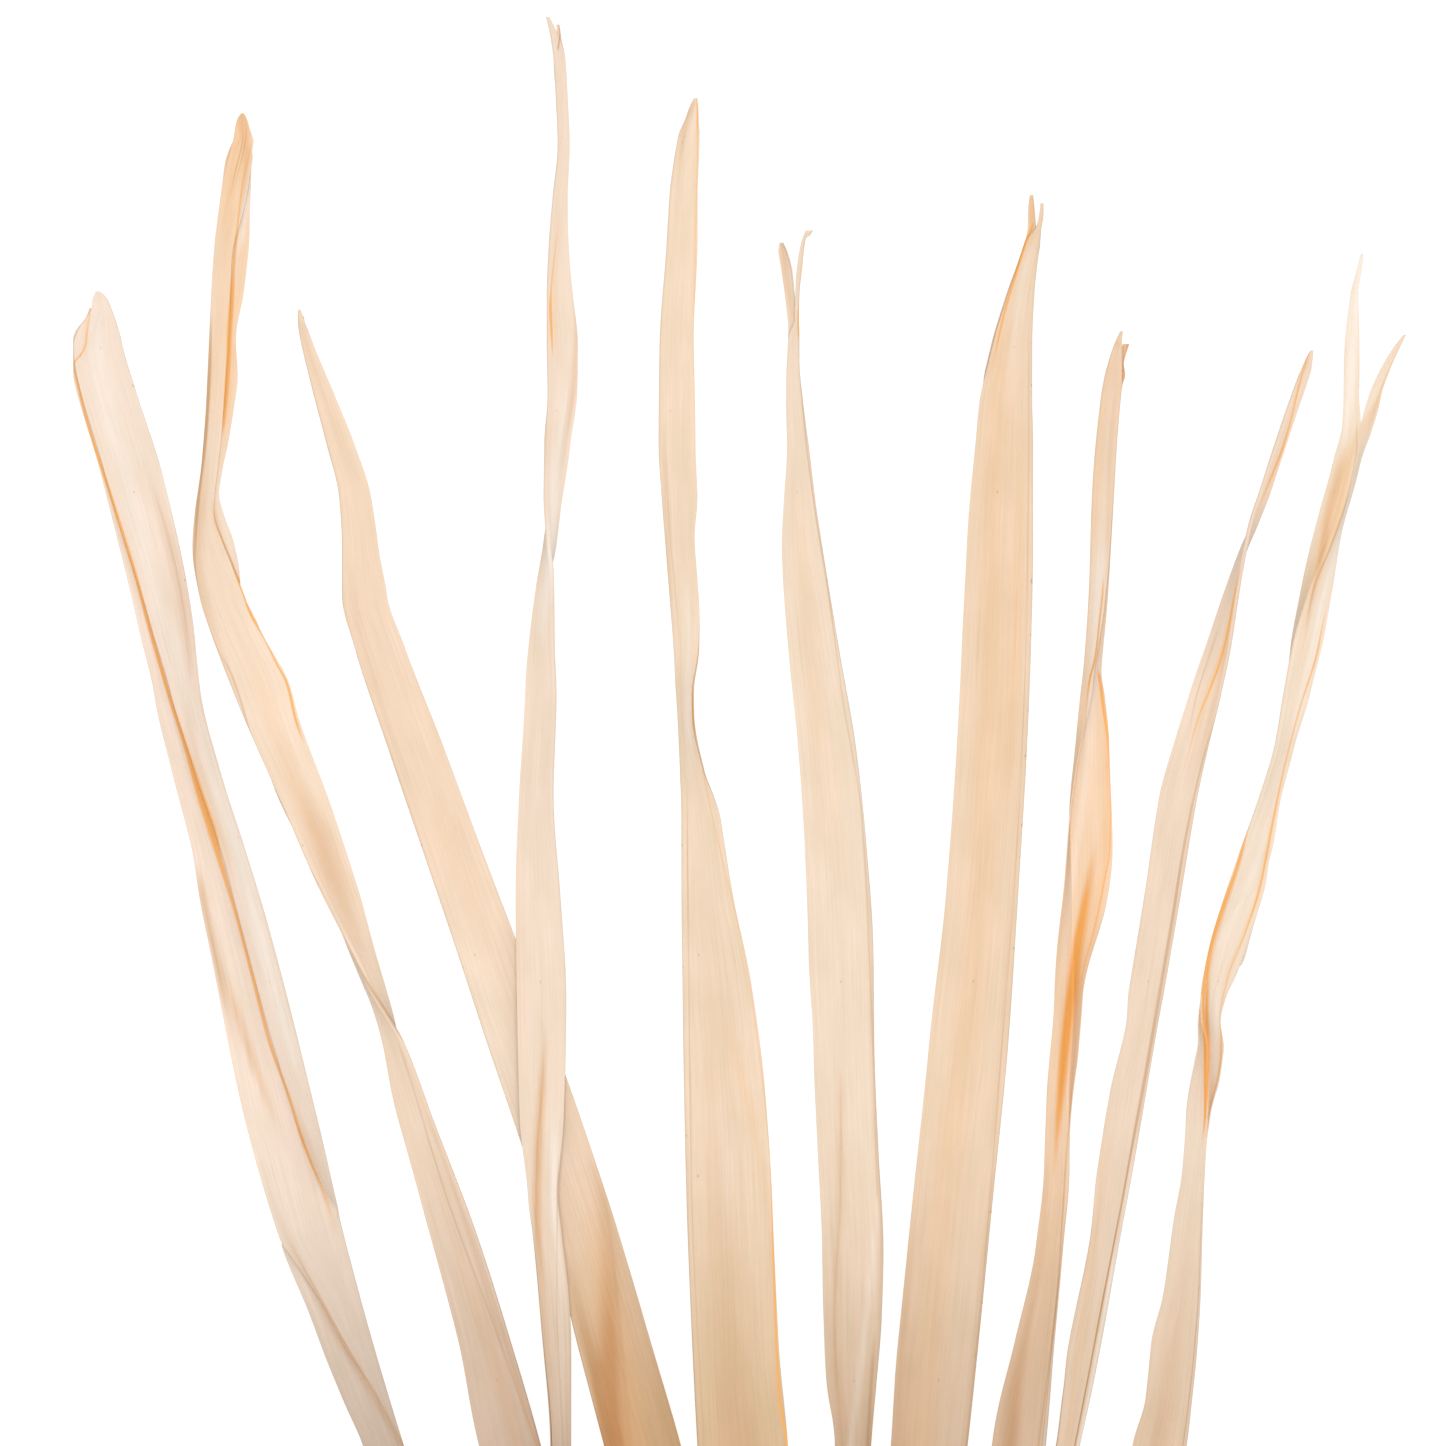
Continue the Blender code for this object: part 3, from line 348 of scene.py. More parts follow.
# %% Leaflet 10
lay_out(
    10,
    blade=(
        (-57, 10.6, 2.7, 9.6, 180, 0, 0), (12, 10.6, 2.7, 10, 180, 0, 0), (60, 26, 2.8, 12, 180, 1, 0),
        (120, 52, 3, 14, 180, 2, 0), (200, 85, 3.2, 17, 178, 4, 0), (300, 122, 3.4, 20, 172, 7, 2),
        (421, 154.8, 3.4, 22.5, 161, 9, 3), (440, 157, 3.4, 20.8, 149, 9, 3),
        (462, 159.2, 3.2, 21, 147, 10, 3), (482, 160.4, 3, 18.4, 137, 12, 2),
        (512, 161.2, 2.8, 17, 123, 16, 0), (532, 162, 2.6, 15.5, 111, 24, 0),
        (552, 163.2, 2.6, 14.4, 105, 40, 0), (580, 163.6, 2.6, 14.4, 87, 40, 0),
        (592, 161.2, 2.7, 14.4, 80, 36, 0), (602, 160.8, 2.9, 14.6, 70, 46, 0),
        (610, 162, 3.4, 15, 58, 52, 0), (622, 164.4, 4.4, 15.6, 40, 44, 0), (642, 170.4, 7, 15.4, 14, 20, 0),
        (662, 177.2, 10.5, 13, -24, 16, 0), (682, 184.4, 13.4, 12, -56, 18, 0),
        (702, 190.4, 15.4, 12.4, -65, 22, 0), (722, 193.8, 16.4, 13.4, -63, 42, 0),
        (742, 197.6, 17, 15, -67, 50, 0), (762, 203.6, 17, 15, -78, 47, 0),
        (795, 216.4, 15.6, 13.6, -105, 46, 0), (815, 221.8, 14, 11.6, -108, 56, 0),
        (830, 224.4, 12.6, 8.2, -103, 100, 0),
    ),
    left_tip=(
        (842, 227.6, 13.8, 5.2, -20), (852, 232, 15.4, 4, -12), (862, 238, 17.2, 2.4, -8),
        (866, 241.2, 18, 1.2, -8),
    ),
    right_tip=(
        (842, 223.8, 11.2, 6.4, -168), (852, 224, 10.2, 6.4, -172), (862, 224, 9.4, 6, -174),
        (882, 223.6, 8.4, 3.3, -176), (892, 224.8, 8.2, 2, -178), (898.8, 225.6, 8.2, 1.2, -178),
    ),
)

# %% [markdown]
# A dried leaflet is about a third of a millimetre thick. Its rows are set close together, because
# the twists are smooth and light runs along them. The stalks under the open fan need fewer.

# %% Sizes of the blade
THICKNESS = 0.35
FOLD_BEND = 1.0
MOST_BEND = 0.4
BEND_STEPS = 3
STRIPS = 14
STALK_STEP = 6.0
BLADE_STEP = 2.6
TIP_STEP = 1.5
OPEN_FROM = 400.0


def places(start, end, step):
    """Even places from start to end, about a step apart."""
    return np.linspace(start, end, max(2, round((end - start) / step)) + 1)


def rows_up(track, fork):
    """Places of all rows up a half, and how many of them lie below the fork."""
    stalk = places(track[0][0], OPEN_FROM, STALK_STEP)
    blade = places(OPEN_FROM, fork, BLADE_STEP)[1:]
    tip = places(fork, track[-1][0], TIP_STEP)[1:]
    return np.concatenate([stalk, blade, tip]), len(stalk) + len(blade)


print("strips across a leaflet:", 2 * (BEND_STEPS + STRIPS))

# %% [markdown]
# Each half follows the midrib, and leans away from the roll of the fold by half of the gape. Above
# the fork it follows its own tip.

# %% The track of a half
def half_track(number, side):
    """One half from stalk to tip: up, across, height, width, lean, turn of the bend, cup."""
    track = []
    for up, across, height, width, roll, gape, cup in LEAVES[number]["blade"]:
        track.append((up, across, height, width, roll + side * gape / 2, 90 - gape / 2, cup))
    turn = track[-1][5]
    for up, across, height, width, lean in LEAVES[number][side]:
        last = track[-1][4]
        nearest = lean + 360 * round((last - lean) / 360)
        track.append((up, across, height, width, nearest, turn, 0))
    return track


print("keys of the left half of leaflet 1:", len(half_track(1, LEFT)))

# %% [markdown]
# The two margins lie on each other along most of a leaflet. In some stretches they gape, and the
# slit between them shows. Each stretch has its middle and half of its length, in mm.

# %% Where a fold gapes
SLITS = {1: (640, 340), 2: (760, 190), 4: (870, 60), 7: (885, 45), 8: (540, 240), 10: (570, 280)}
SLIT_END = 0.25


def gaping(number, up):
    """How far a leaflet gapes at each place, from 0 to 1."""
    if number not in SLITS:
        return 0 * up
    middle, half = SLITS[number]
    return np.clip(1 - np.abs(up - middle) / half, 0, SLIT_END) / SLIT_END


print("leaflets that gape:", len(SLITS))

# %% [markdown]
# Everywhere else the fold is shut. An upper half that would leave the lower one bare turns onto it
# and reaches a little further, and the lower one is drawn in under it. How level a half lies is
# the cosine of its lean, and each of these rules fades in over a small range of that.

# %% How the halves lie on each other
CLOSED_GAPE = 3.0
MOST_COVER = 1.6
DRAWN_IN = 0.05
SAME_WAY = 0.25
BARE = 0.12
COVERED = 0.35
LEAST_LEVEL = 0.1
BLENDED_ROWS = 7


def lying_on(number, side, up, lean):
    """Lean of a half, and the share of its width that it reaches."""
    fork = LEAVES[number]["blade"][-1][0]
    other = smooth_track(half_track(number, -side), 4, np.minimum(up, fork))
    mine = np.cos(np.radians(lean))
    theirs = np.cos(np.radians(other))
    upper = np.sin(np.radians(lean)) > np.sin(np.radians(other))
    shut = np.clip(1 - gaping(number, up), 0, 1) * (up < fork)
    same_way = np.clip(mine * np.sign(theirs) / SAME_WAY, 0, 1)
    bare = np.clip((np.abs(theirs) - np.abs(mine)) / BARE, 0, 1)
    turned = np.pad(upper * shut * same_way * bare, BLENDED_ROWS // 2, mode="edge")
    turned = np.convolve(turned, np.ones(BLENDED_ROWS) / BLENDED_ROWS, mode="valid")
    apart = (lean - other + 180) % 360 - 180
    lean = lean - turned * (apart - CLOSED_GAPE * np.sign(apart))
    mine = np.cos(np.radians(lean))
    covered = shut * np.clip(np.minimum(mine * np.sign(theirs), np.abs(theirs)) / COVERED, 0, 1)
    wider = np.clip(np.abs(theirs) / np.maximum(np.abs(mine), LEAST_LEVEL), 1.0, MOST_COVER) - 1
    return lean, np.where(upper, 1 + wider * covered, 1 - DRAWN_IN * covered)


print("a shut fold still has an angle of", CLOSED_GAPE, "degrees")

# %% [markdown]
# Where a fold has sunk, its two halves lie nearer to level, and the hollow between them is shallow.
# The keys have the place up and the share of the height that is left.

# %% Where a fold has sunk
SETTLED = {
    1: ((330, 1), (430, 0.4), (500, 0.26), (830, 0.26), (868, 0.5), (890, 0.5)),
    2: (
        (470, 1), (560, 0.45), (600, 0.33), (640, 0.33), (740, 0.33), (785, 0.22), (860, 0.2), (910, 0.18),
        (960, 0.3),
    ),
    4: (
        (400, 1), (420, 0.6), (440, 0.4), (520, 0.36), (600, 0.5), (680, 0.8), (730, 0.45), (800, 0.35),
        (835, 0.6), (865, 1),
    ),
    5: ((600, 1), (660, 0.5), (700, 0.35), (745, 0.35), (790, 0.6), (850, 1)),
    8: ((360, 1), (430, 0.5), (560, 0.3), (700, 0.3), (740, 0.4), (800, 0.7), (850, 1)),
    10: ((340, 1), (420, 0.5), (740, 0.42), (800, 0.32), (840, 0.35), (890, 0.5)),
}


def within_keys(keys, up, beyond):
    """A value between its keys, and what it is beyond them or without any."""
    if keys is None:
        return beyond
    inside = (up > keys[0][0]) & (up < keys[-1][0])
    return np.where(inside, smooth_track(keys, 1, up), beyond)


print("sunk folds:", sorted(SETTLED))

# %% [markdown]
# In some leaflets one half shrank more than the other, or was torn, so along a stretch it has a
# share of the width of its own, and here and there a lean of its own in degrees.

# %% Where a half goes its own way
NARROWED = {
    (1, LEFT): (
        (330, 1), (400, 0.1), (421, 0.05), (442, 0.28), (461, 0.56), (480, 0.73), (495, 0.9), (503, 1),
    ),
    (1, RIGHT): (
        (430, 1), (461, 0.966), (480, 0.964), (503, 0.96), (511, 0.05), (515, 0.05), (522, 0.5), (532, 0.85),
        (550, 1),
    ),
    (2, LEFT): (
        (715, 1), (730, 0.97), (742, 0.93), (749, 0.95), (755, 1.04), (761, 1.14), (769, 1.21), (777, 1.17),
        (784, 1.08), (792, 1),
    ),
    (2, RIGHT): ((735, 1), (745, 0.88), (755, 0.84), (763, 0.85), (769, 0.91), (777, 0.98), (785, 1)),
    (8, RIGHT): ((320, 1), (400, 0.12), (421, 0.08), (535, 0.08), (575, 1)),
    (10, LEFT): ((578, 1), (586, 0.85), (594, 0.45), (600, 0.05), (605, 0.05), (608, 0.3), (614, 1)),
    (10, RIGHT): ((320, 1), (400, 0.12), (421, 0.08), (542, 0.08), (566, 1)),
}
OWN_LEAN = {
    (1, LEFT): ((300, 166.5), (421, 128), (442, 137), (461, 145.5), (480, 151), (508, 162), (552, 175)),
    (1, RIGHT): (
        (300, 169.5), (421, 131), (442, 141), (461, 152), (480, 160), (492, 169), (500, 176), (511, 180),
        (515, 98), (524, 101), (552, 107),
    ),
    (10, LEFT): (
        (580, 107), (592, 98), (600, 95), (604, -8), (610, -12), (622, -7), (642, -3), (650, -13), (655, -19),
        (662, -16),
    ),
}
print("halves with a width of their own:", len(NARROWED), "and with a lean of their own:", len(OWN_LEAN))

# %% [markdown]
# One half of a leaflet is swept up its track. Across, it starts at the midrib, turns round the small
# bend of the fold, and then runs out to the margin, bowed by the cup.

# %% One half of a leaflet
def strips_across(side, width, lean, turn, cup):
    """Width and lean of each strip, from the midrib to the margin."""
    bend = np.minimum(FOLD_BEND, MOST_BEND * width)
    for strip in range(BEND_STEPS):
        yield bend / BEND_STEPS, lean + side * turn * (1 - (strip + 0.5) / BEND_STEPS)
    for strip in range(STRIPS):
        middle = (strip + 0.5) / STRIPS
        yield (width - bend) / STRIPS, lean + cup * (2 * middle - 1) * np.cos(np.radians(lean))


def half_surface(number, side):
    """Rows of points from midrib to margin, and how many of the rows lie below the fork."""
    track = half_track(number, side)
    up, below = rows_up(track, LEAVES[number]["blade"][-1][0])
    across, height, width, lean, turn, cup = (smooth_track(track, i, up) for i in range(1, 7))
    lean, reach = lying_on(number, side, up, lean)
    lean = within_keys(OWN_LEAN.get((number, side)), up, lean)
    width = width * within_keys(NARROWED.get((number, side)), up, reach)
    points = [np.stack([across, up, height], axis=1)]
    for length, angle in strips_across(side, width, lean, turn, cup):
        radians = np.radians(angle)
        step = np.stack([np.cos(radians) * length, 0 * up, np.sin(radians) * length], axis=1)
        points.append(points[-1] + step)
    half = np.stack(points, axis=1)
    settled = within_keys(SETTLED.get(number), up, np.ones(len(up)))
    half[..., 2] = height[:, None] + (half[..., 2] - height[:, None]) * settled[:, None]
    return half, below


print("rows and columns of the left half of leaflet 1:", half_surface(1, LEFT)[0].shape[:2])

# %% [markdown]
# The outermost leaflet on each side droops until it touches the surface. The drop grows along the
# stalk, which stays where the tie holds it. The body in the frame is 0.7 mm thick, so the middle of
# the sheet stops half of that above the surface.

# %% The two leaflets that touch the surface
LAID_LEAVES = (1, 10)
LAID_FROM = 120.0
LAID_TO = 420.0
BODY_HALF_THICKNESS = 0.35


def lay_down(halves):
    """Lower the open part of a leaflet until its lowest point is on the surface."""
    lowest = min(half[half[..., 1] > LAID_TO][:, 2].min() for half in halves) - BODY_HALF_THICKNESS
    for half in halves:
        u = np.clip((half[..., 1] - LAID_FROM) / (LAID_TO - LAID_FROM), 0, 1)
        half[..., 2] -= lowest * u * u * (3 - 2 * u)
    return lowest


print("leaflets that are laid down:", LAID_LEAVES)

# %% [markdown]
# Each leaflet has soft marks of painted light and shade: painted tan shade in its creases and
# hollows, a painted orange glow where light comes through two layers, painted highlights on strips
# and painted light on shaded places, and the painted deep orange glow of light bounced in the hollows.
# Each is a track: up, across, reach to the left, reach to the right and strength.
# The thin lines are brown along the creases where a half folds over itself and along the dry ridges
# of a margin, partly their own colour and partly painted shade, and orange along the edges of the
# slits, a painted glow. Their keys have the place up, the place across, half of the width and the
# strength.

# %% Mark up a leaflet
MARKS = {}
LINES = {}


def mark_up(number, soft, thin):
    """Keep the soft marks and the thin lines of a leaflet, and count them."""
    MARKS[number] = soft
    LINES[number] = thin
    print(leaf_name(number), "has", len(soft), "soft marks and", len(thin), "thin lines")


# %% [markdown]
# The first has painted light on its open half where the other half shades it, painted shade in the
# creases where it folds back over itself, and a painted orange glow along its slit.

# %% Marks of leaflet 1
mark_up(
    1,
    soft=(
        ("glow", (855.2, -288, 1.6, 1.6, 0), (862, -286.4, 1.6, 2, 0.55), (872.8, -285.6, 1.6, 1.6, 0.55),
         (881.6, -284.4, 1.2, 1.2, 0)),
        ("pale", (564, -199.6, 2.4, 3.2, 0), (584, -205.2, 4, 4.4, 0.8), (620, -214.8, 4.8, 5.2, 0.9),
         (660, -225.2, 4.8, 5.2, 0.9), (700, -237.6, 4, 4.8, 0.6), (736, -248, 4, 4.8, 0.6),
         (760, -254, 3.2, 4, 0)),
        ("tan", (696, -241.6, 3.2, 3.2, 0), (724, -244, 3.2, 3.2, 0.3), (752, -246.4, 4, 4, 0.45),
         (776, -251.2, 4, 4.8, 0.45), (800, -257.6, 3.6, 4.8, 0.3), (820, -263.2, 3.2, 4, 0)),
        ("pale", (696, -244, 4, 4.8, 0), (752, -256, 4.8, 5.6, 0.45), (808, -269.6, 5.6, 5.6, 0.5),
         (864, -281.6, 4.8, 5.6, 0.5), (880, -280.8, 3.2, 3.2, 0)),
        ("glow", (640, -226.4, 1.2, 2.4, 0), (660, -231.2, 1.2, 3.6, 0.5), (684, -239.2, 1.2, 4, 0.45),
         (720, -249.6, 0.8, 3.2, 0)),
        ("tan", (576, -224.8, 2, 3.6, 0), (592, -228.4, 2, 3.6, 0.5), (616, -234, 2, 3.6, 1),
         (640, -239.2, 2, 3.6, 1), (656, -242.4, 2, 3.2, 0)),
        ("tan", (544, -208, 2, 3.2, 0), (564, -215.2, 2, 3.2, 0.5), (580, -220.8, 2.4, 3.6, 0.7),
         (600, -227.2, 2, 3.2, 0.5), (620, -233.2, 1.6, 2.8, 0)),
        ("glow", (548, -209.6, 1.6, 3.2, 0), (568, -216.8, 2, 3.6, 0.4), (592, -224.8, 2, 3.6, 0.4),
         (616, -232.8, 1.6, 3.2, 0)),
        ("tan", (421.6, -159.2, 3.2, 1.2, 0.6), (442, -170.4, 4, 1.6, 0.7), (461.2, -182, 4, 1.6, 0.75),
         (479.6, -192, 3.6, 1.6, 0.6), (504, -204, 2.8, 1.6, 0.35), (524, -212.8, 2, 2, 0)),
        ("tan", (504, -184.8, 0.8, 2.4, 0), (524, -191.2, 0.8, 3.6, 0.4), (542, -198, 0.8, 4.8, 0.5),
         (560, -204, 0.8, 4, 0)),
    ),
    thin=(
        ("orange", (506, -185.2, 0.4, 0), (524.4, -191.6, 0.5, 0.6), (542.8, -198.8, 0.68, 0.9),
         (562, -204.8, 0.6, 0.9), (581.6, -212, 0.64, 0.85), (609.2, -219.2, 0.72, 0.9),
         (634.8, -226, 0.68, 0.9), (656, -232.4, 1, 0.95), (668, -235.6, 1.7, 1), (681.6, -240, 1.5, 1),
         (700, -245.6, 0.9, 1), (722.4, -252.8, 0.72, 1), (747.2, -260, 0.72, 1), (772.4, -266.8, 0.68, 1),
         (799.2, -275.2, 0.64, 1), (834.8, -286.4, 0.6, 0.95), (848, -289.6, 0.5, 0.9),
         (851.2, -290.4, 0.4, 0.9), (854.8, -290.8, 0.36, 0.9), (857.2, -288.8, 0.36, 0.9),
         (860, -287, 0.36, 0.8), (862.4, -286, 0.36, 0.7), (867.2, -285.6, 0.36, 0.6),
         (874.4, -284.4, 0.32, 0.4), (880, -283.6, 0.28, 0)),
        ("brown", (421.6, -158.8, 0.4, 0.5), (442, -170, 0.4, 0.7), (461.2, -181.6, 0.44, 0.8),
         (479.6, -191.6, 0.4, 0.6), (508, -207.2, 0.3, 0)),
        ("brown", (720, -243.6, 0.4, 0), (752, -246.4, 0.5, 0.3), (784, -252.8, 0.5, 0.35),
         (808, -260, 0.4, 0)),
    ),
)

# %% [markdown]
# The second has painted shade where it turns over, a painted glow along the narrow spear above, and
# cracks in its dark tip, which has painted shade and painted glow.

# %% Marks of leaflet 2
mark_up(
    2,
    soft=(
        ("glow", (824, -236.8, 5.6, 5.6, 0), (848, -234.4, 7.2, 7.2, 0.4), (880, -230.4, 8.8, 8, 0.4),
         (900, -229.2, 9.6, 6.4, 0.55), (920, -228, 9.6, 6, 0.85), (940, -224, 10.4, 8, 1.1),
         (955.2, -223.6, 8.8, 8.8, 1.2)),
        ("tan", (888, -225.6, 2.4, 2.4, 0), (904, -224, 2.4, 2.4, 0.2), (924, -222.8, 2.4, 2.4, 0.5),
         (940, -221.6, 2.8, 2.4, 0.6), (955.2, -223.6, 4, 4, 0.5)),
        ("pale", (896.8, -225.2, 1.6, 1.6, 0), (907.2, -223.6, 1.6, 2.8, 1), (918, -222, 1.6, 2.8, 0.9),
         (926, -220.4, 1.2, 2, 0)),
        ("glow", (812, -232, 1.6, 2.4, 0), (824, -230.4, 1.6, 3.2, 0.5), (840, -228.8, 1.6, 3.2, 0.9),
         (856, -227.2, 2, 3.2, 0.8), (872, -226, 2.4, 3.2, 0.6), (892, -223.2, 2.8, 3.2, 0.6),
         (912, -221.6, 2.8, 3.2, 0.6), (924, -220.4, 2.4, 3.2, 0)),
        ("tan", (712, -222.4, 1.6, 2.4, 0), (728, -228, 1.6, 2.8, 0.3), (752, -236.8, 1.6, 4.8, 0.45),
         (776, -242, 1.2, 5.6, 0.65), (800, -240.8, 1.2, 5.6, 0.7), (824, -238.4, 1.2, 2.4, 0.7),
         (848, -236.8, 1.2, 2, 0.6), (868, -235.6, 1.2, 1.6, 0)),
        ("pale", (732, -206, 2, 3.2, 0), (752, -215.2, 2.4, 4, 0.6), (776, -227.2, 2.4, 4, 0.6),
         (800, -232.8, 1.6, 2.4, 0)),
        ("tan", (608, -172, 1.6, 2.8, 0), (624, -177.6, 4, 5.6, 0.3), (640, -182.8, 7.2, 8, 0.6),
         (654, -188.4, 8.8, 9.6, 0.8), (668, -193.2, 8.8, 9.6, 0.75), (684, -200, 7.2, 8, 0.35),
         (704, -209.6, 5.6, 5.6, 0)),
        ("glow", (664, -192.8, 4.8, 3.2, 0), (688, -201.6, 6.4, 4, 0.3), (720, -212.8, 7.2, 4.8, 0.3),
         (744, -220, 6.4, 4.8, 0)),
        ("tan", (421.6, -104.8, 2, 4.8, 0.5), (480, -124, 1.6, 4, 0.4), (540, -144, 1.2, 3.2, 0.35),
         (584, -159.2, 1.2, 3.2, 0)),
        ("glow", (421.6, -112, 7.2, 4, 0.4), (440, -116.8, 7.2, 4, 0.4), (488, -132, 6.4, 4.8, 0.3),
         (540, -148, 4.8, 3.2, 0)),
    ),
    thin=(
        ("orange", (824.8, -231.2, 0.3, 0), (832, -230.6, 0.6, 0.9), (842, -229.8, 0.8, 1),
         (857.2, -228.8, 0.88, 1), (868, -228.4, 1, 1), (882.8, -227.4, 0.84, 1), (892, -226.9, 0.52, 0.9),
         (898.4, -226.4, 0.48, 0.85), (911.6, -225, 0.4, 0.8), (926, -223.2, 0.36, 0.75),
         (936, -221, 0.34, 0.7), (940.8, -220, 0.3, 0.6), (944.8, -219.8, 0.24, 0)),
        ("orange", (702, -198, 0.3, 0), (711.2, -201.2, 0.48, 1), (727.2, -205.2, 0.44, 1),
         (734.4, -209, 0.36, 0.9), (744, -213.6, 0.4, 0.9), (755.2, -219.8, 0.52, 1),
         (763.2, -222.6, 0.52, 1), (769.2, -225.2, 0.44, 0.9), (776, -227.6, 0.36, 0.8),
         (784, -231, 0.32, 0.8), (792, -234.2, 0.32, 0.7), (800, -235.2, 0.3, 0)),
        ("brown", (566, -148.8, 0.28, 0), (580, -156, 0.4, 0.6), (592.4, -163.6, 0.48, 0.9),
         (604.8, -171.4, 0.48, 0.9), (618, -178.4, 0.36, 0.45), (630, -184, 0.32, 0.3),
         (646, -192, 0.36, 0.35), (660, -200, 0.36, 0.5), (696, -216, 0.36, 0.6), (731.2, -227.6, 0.4, 0.6),
         (740, -232.4, 0.32, 0.3), (760, -240, 0.4, 0.4), (776, -242.2, 0.6, 0.8), (800, -240.9, 0.68, 1.15),
         (824, -238.2, 0.68, 1.15), (848, -236.7, 0.68, 1), (864, -236.1, 0.6, 0.8), (876, -235.8, 0.52, 0)),
        ("brown", (920, -228.4, 0.2, 0), (931.2, -226.2, 0.26, 0.7), (940.4, -223.8, 0.26, 0.8),
         (946, -223, 0.2, 0.5), (950.4, -223.2, 0.16, 0)),
        ("brown", (922, -227.2, 0.2, 0), (934, -224.2, 0.24, 0.6), (941.6, -222.4, 0.24, 0.7),
         (947.2, -221.6, 0.2, 0.5), (952.8, -222, 0.16, 0)),
        ("brown", (924, -231.6, 0.2, 0), (933.6, -229.8, 0.24, 0.5), (940, -228.2, 0.24, 0.7),
         (943.2, -227.2, 0.16, 0)),
        ("brown", (421.6, -105.2, 0.4, 0.6), (468, -121.6, 0.36, 0.5), (520, -140.8, 0.36, 0.5),
         (576, -158, 0.36, 0.45), (584, -160.8, 0.32, 0)),
    ),
)

# %% [markdown]
# The third has painted shade in the gutter of its broad foot, and painted light above that where the
# fourth leaflet shades it.

# %% Marks of leaflet 3
mark_up(
    3,
    soft=(
        ("pale", (524, -96, 18, 18, 0), (548, -104, 18, 18, 0.3), (576, -114, 18, 18, 0.5),
         (600, -120, 18, 18, 0.5), (632, -130.4, 18, 18, 0.25), (664, -140, 16, 16, 0)),
        ("tan", (800, -177.6, 4, 4, 0), (832, -187.2, 3.2, 3.2, 0.2), (860, -196.8, 2.4, 2.4, 0.25),
         (872, -200, 1.6, 1.6, 0)),
        ("tan", (672, -153.6, 1.2, 4, 0), (712, -166.4, 1.2, 4, 0.2), (752, -178, 1.2, 4, 0.25),
         (784, -182, 1.2, 3.2, 0)),
        ("glow", (536, -102, 8, 8, 0), (560, -108, 9.6, 9.6, 0.2), (592, -116, 9.6, 10.4, 0.35),
         (640, -132, 8.8, 10.4, 0.3), (696, -152, 8, 9.6, 0)),
        ("tan", (421.6, -74, 9.6, 6, 1.2), (435.2, -75.2, 8.8, 5.6, 1.2), (464, -76, 7.2, 5.6, 1.1),
         (496, -76.8, 5.6, 6.4, 0.6), (528, -80, 4.8, 6.4, 0.4), (564, -84.8, 3.2, 4, 0)),
        ("glow", (421.6, -70.4, 12, 14.4, 0.9), (496, -79.2, 10.4, 12, 0.5), (528, -84, 8, 9.6, 0)),
        ("tan", (421.6, -76, 3.2, 6.4, 1.2), (440, -80, 3.2, 6.4, 1.1), (464, -85.6, 3.2, 6.4, 0.8),
         (480, -89.6, 2.4, 5.6, 0.4), (500, -93.6, 1.6, 4.8, 0)),
    ),
    thin=(
        ("brown", (421.6, -68, 1, 0.4), (460, -71.2, 0.8, 0.35), (500, -75.2, 0.6, 0.25),
         (540, -80.8, 0.4, 0)),
    ),
)

# %% [markdown]
# The fourth has painted shade at its waist beside a painted highlight along a ridge, and a painted
# orange glow in a short slit near its tip.

# %% Marks of leaflet 4
mark_up(
    4,
    soft=(
        ("glow", (852, -97.6, 2.4, 2.4, 0), (876, -98.4, 2.4, 2.4, 0.5), (900, -97.6, 2, 2, 0.35),
         (924, -96, 1.6, 1.6, 0)),
        ("tan", (800, -97.6, 2, 1.2, 0), (824, -93.6, 2.4, 1.2, 0.4), (848, -90, 2.4, 1.2, 0.55),
         (872, -89.2, 2, 1.2, 0.5), (892, -91.2, 2, 1.2, 0)),
        ("tan", (808, -102, 1.2, 1.6, 0), (828, -102, 1.2, 1.6, 0.4), (842, -102, 1.2, 1.6, 0)),
        ("pale", (740, -104, 3.2, 3.2, 0), (760, -101.6, 4, 3.2, 0.9), (780, -99.6, 3.2, 3.2, 1),
         (812, -97.6, 4, 4, 0.8), (836, -95.2, 3.2, 3.2, 0.5), (856, -96, 3.2, 4, 0)),
        ("tan", (421.6, -97.6, 2, 1.2, 0.1), (480, -102.4, 2.4, 2, 0.4), (520, -104.8, 3.2, 2.4, 0.7),
         (548, -104, 3.2, 2.4, 0.8), (568, -102.8, 2.4, 2, 0.7), (582, -102, 2, 2, 0.45),
         (596, -104, 2, 2.4, 0)),
        ("glow", (448, -100.8, 2, 1.6, 0), (480, -103.2, 2.4, 2, 0.3), (520, -104.8, 3.2, 2.8, 0.6),
         (560, -103.6, 3.2, 2.8, 0.6), (580, -102.8, 2.4, 2.4, 0)),
        ("pale", (421.6, -95.2, 3.2, 2.4, 0.2), (472, -95.2, 2.8, 2.4, 0.3), (496, -96.4, 2.4, 2.4, 0.5),
         (520, -98.4, 2.4, 2, 0.9), (536, -98.4, 2.4, 2.4, 0.9), (560, -97.2, 1.6, 1.6, 0)),
        ("glow", (560, -110.4, 2, 3.2, 0), (600, -112, 2, 3.2, 0.25), (640, -112.4, 2, 2.4, 0.2),
         (672, -111.2, 2, 2, 0)),
    ),
    thin=(
        ("orange", (856, -99, 0.2, 0), (862, -99.2, 0.32, 0.8), (870, -99.6, 0.48, 1), (878, -99.9, 0.52, 1),
         (884, -99.6, 0.32, 0.8), (902, -97.8, 0.26, 0.5), (914, -96.4, 0.24, 0)),
        ("brown", (980, -96.8, 0.32, 1), (986.4, -96, 0.32, 1), (990.4, -96.4, 0.28, 1)),
        ("brown", (480, -104, 0.32, 0), (508, -105.6, 0.4, 0.3), (540, -105, 0.44, 0.5),
         (565.2, -103, 0.4, 0.4), (584, -102.4, 0.3, 0)),
        ("brown", (421.6, -94.8, 0.28, 0.4), (484, -97.2, 0.28, 0.4), (525.2, -97, 0.3, 0.5),
         (540, -96.4, 0.28, 0)),
    ),
)
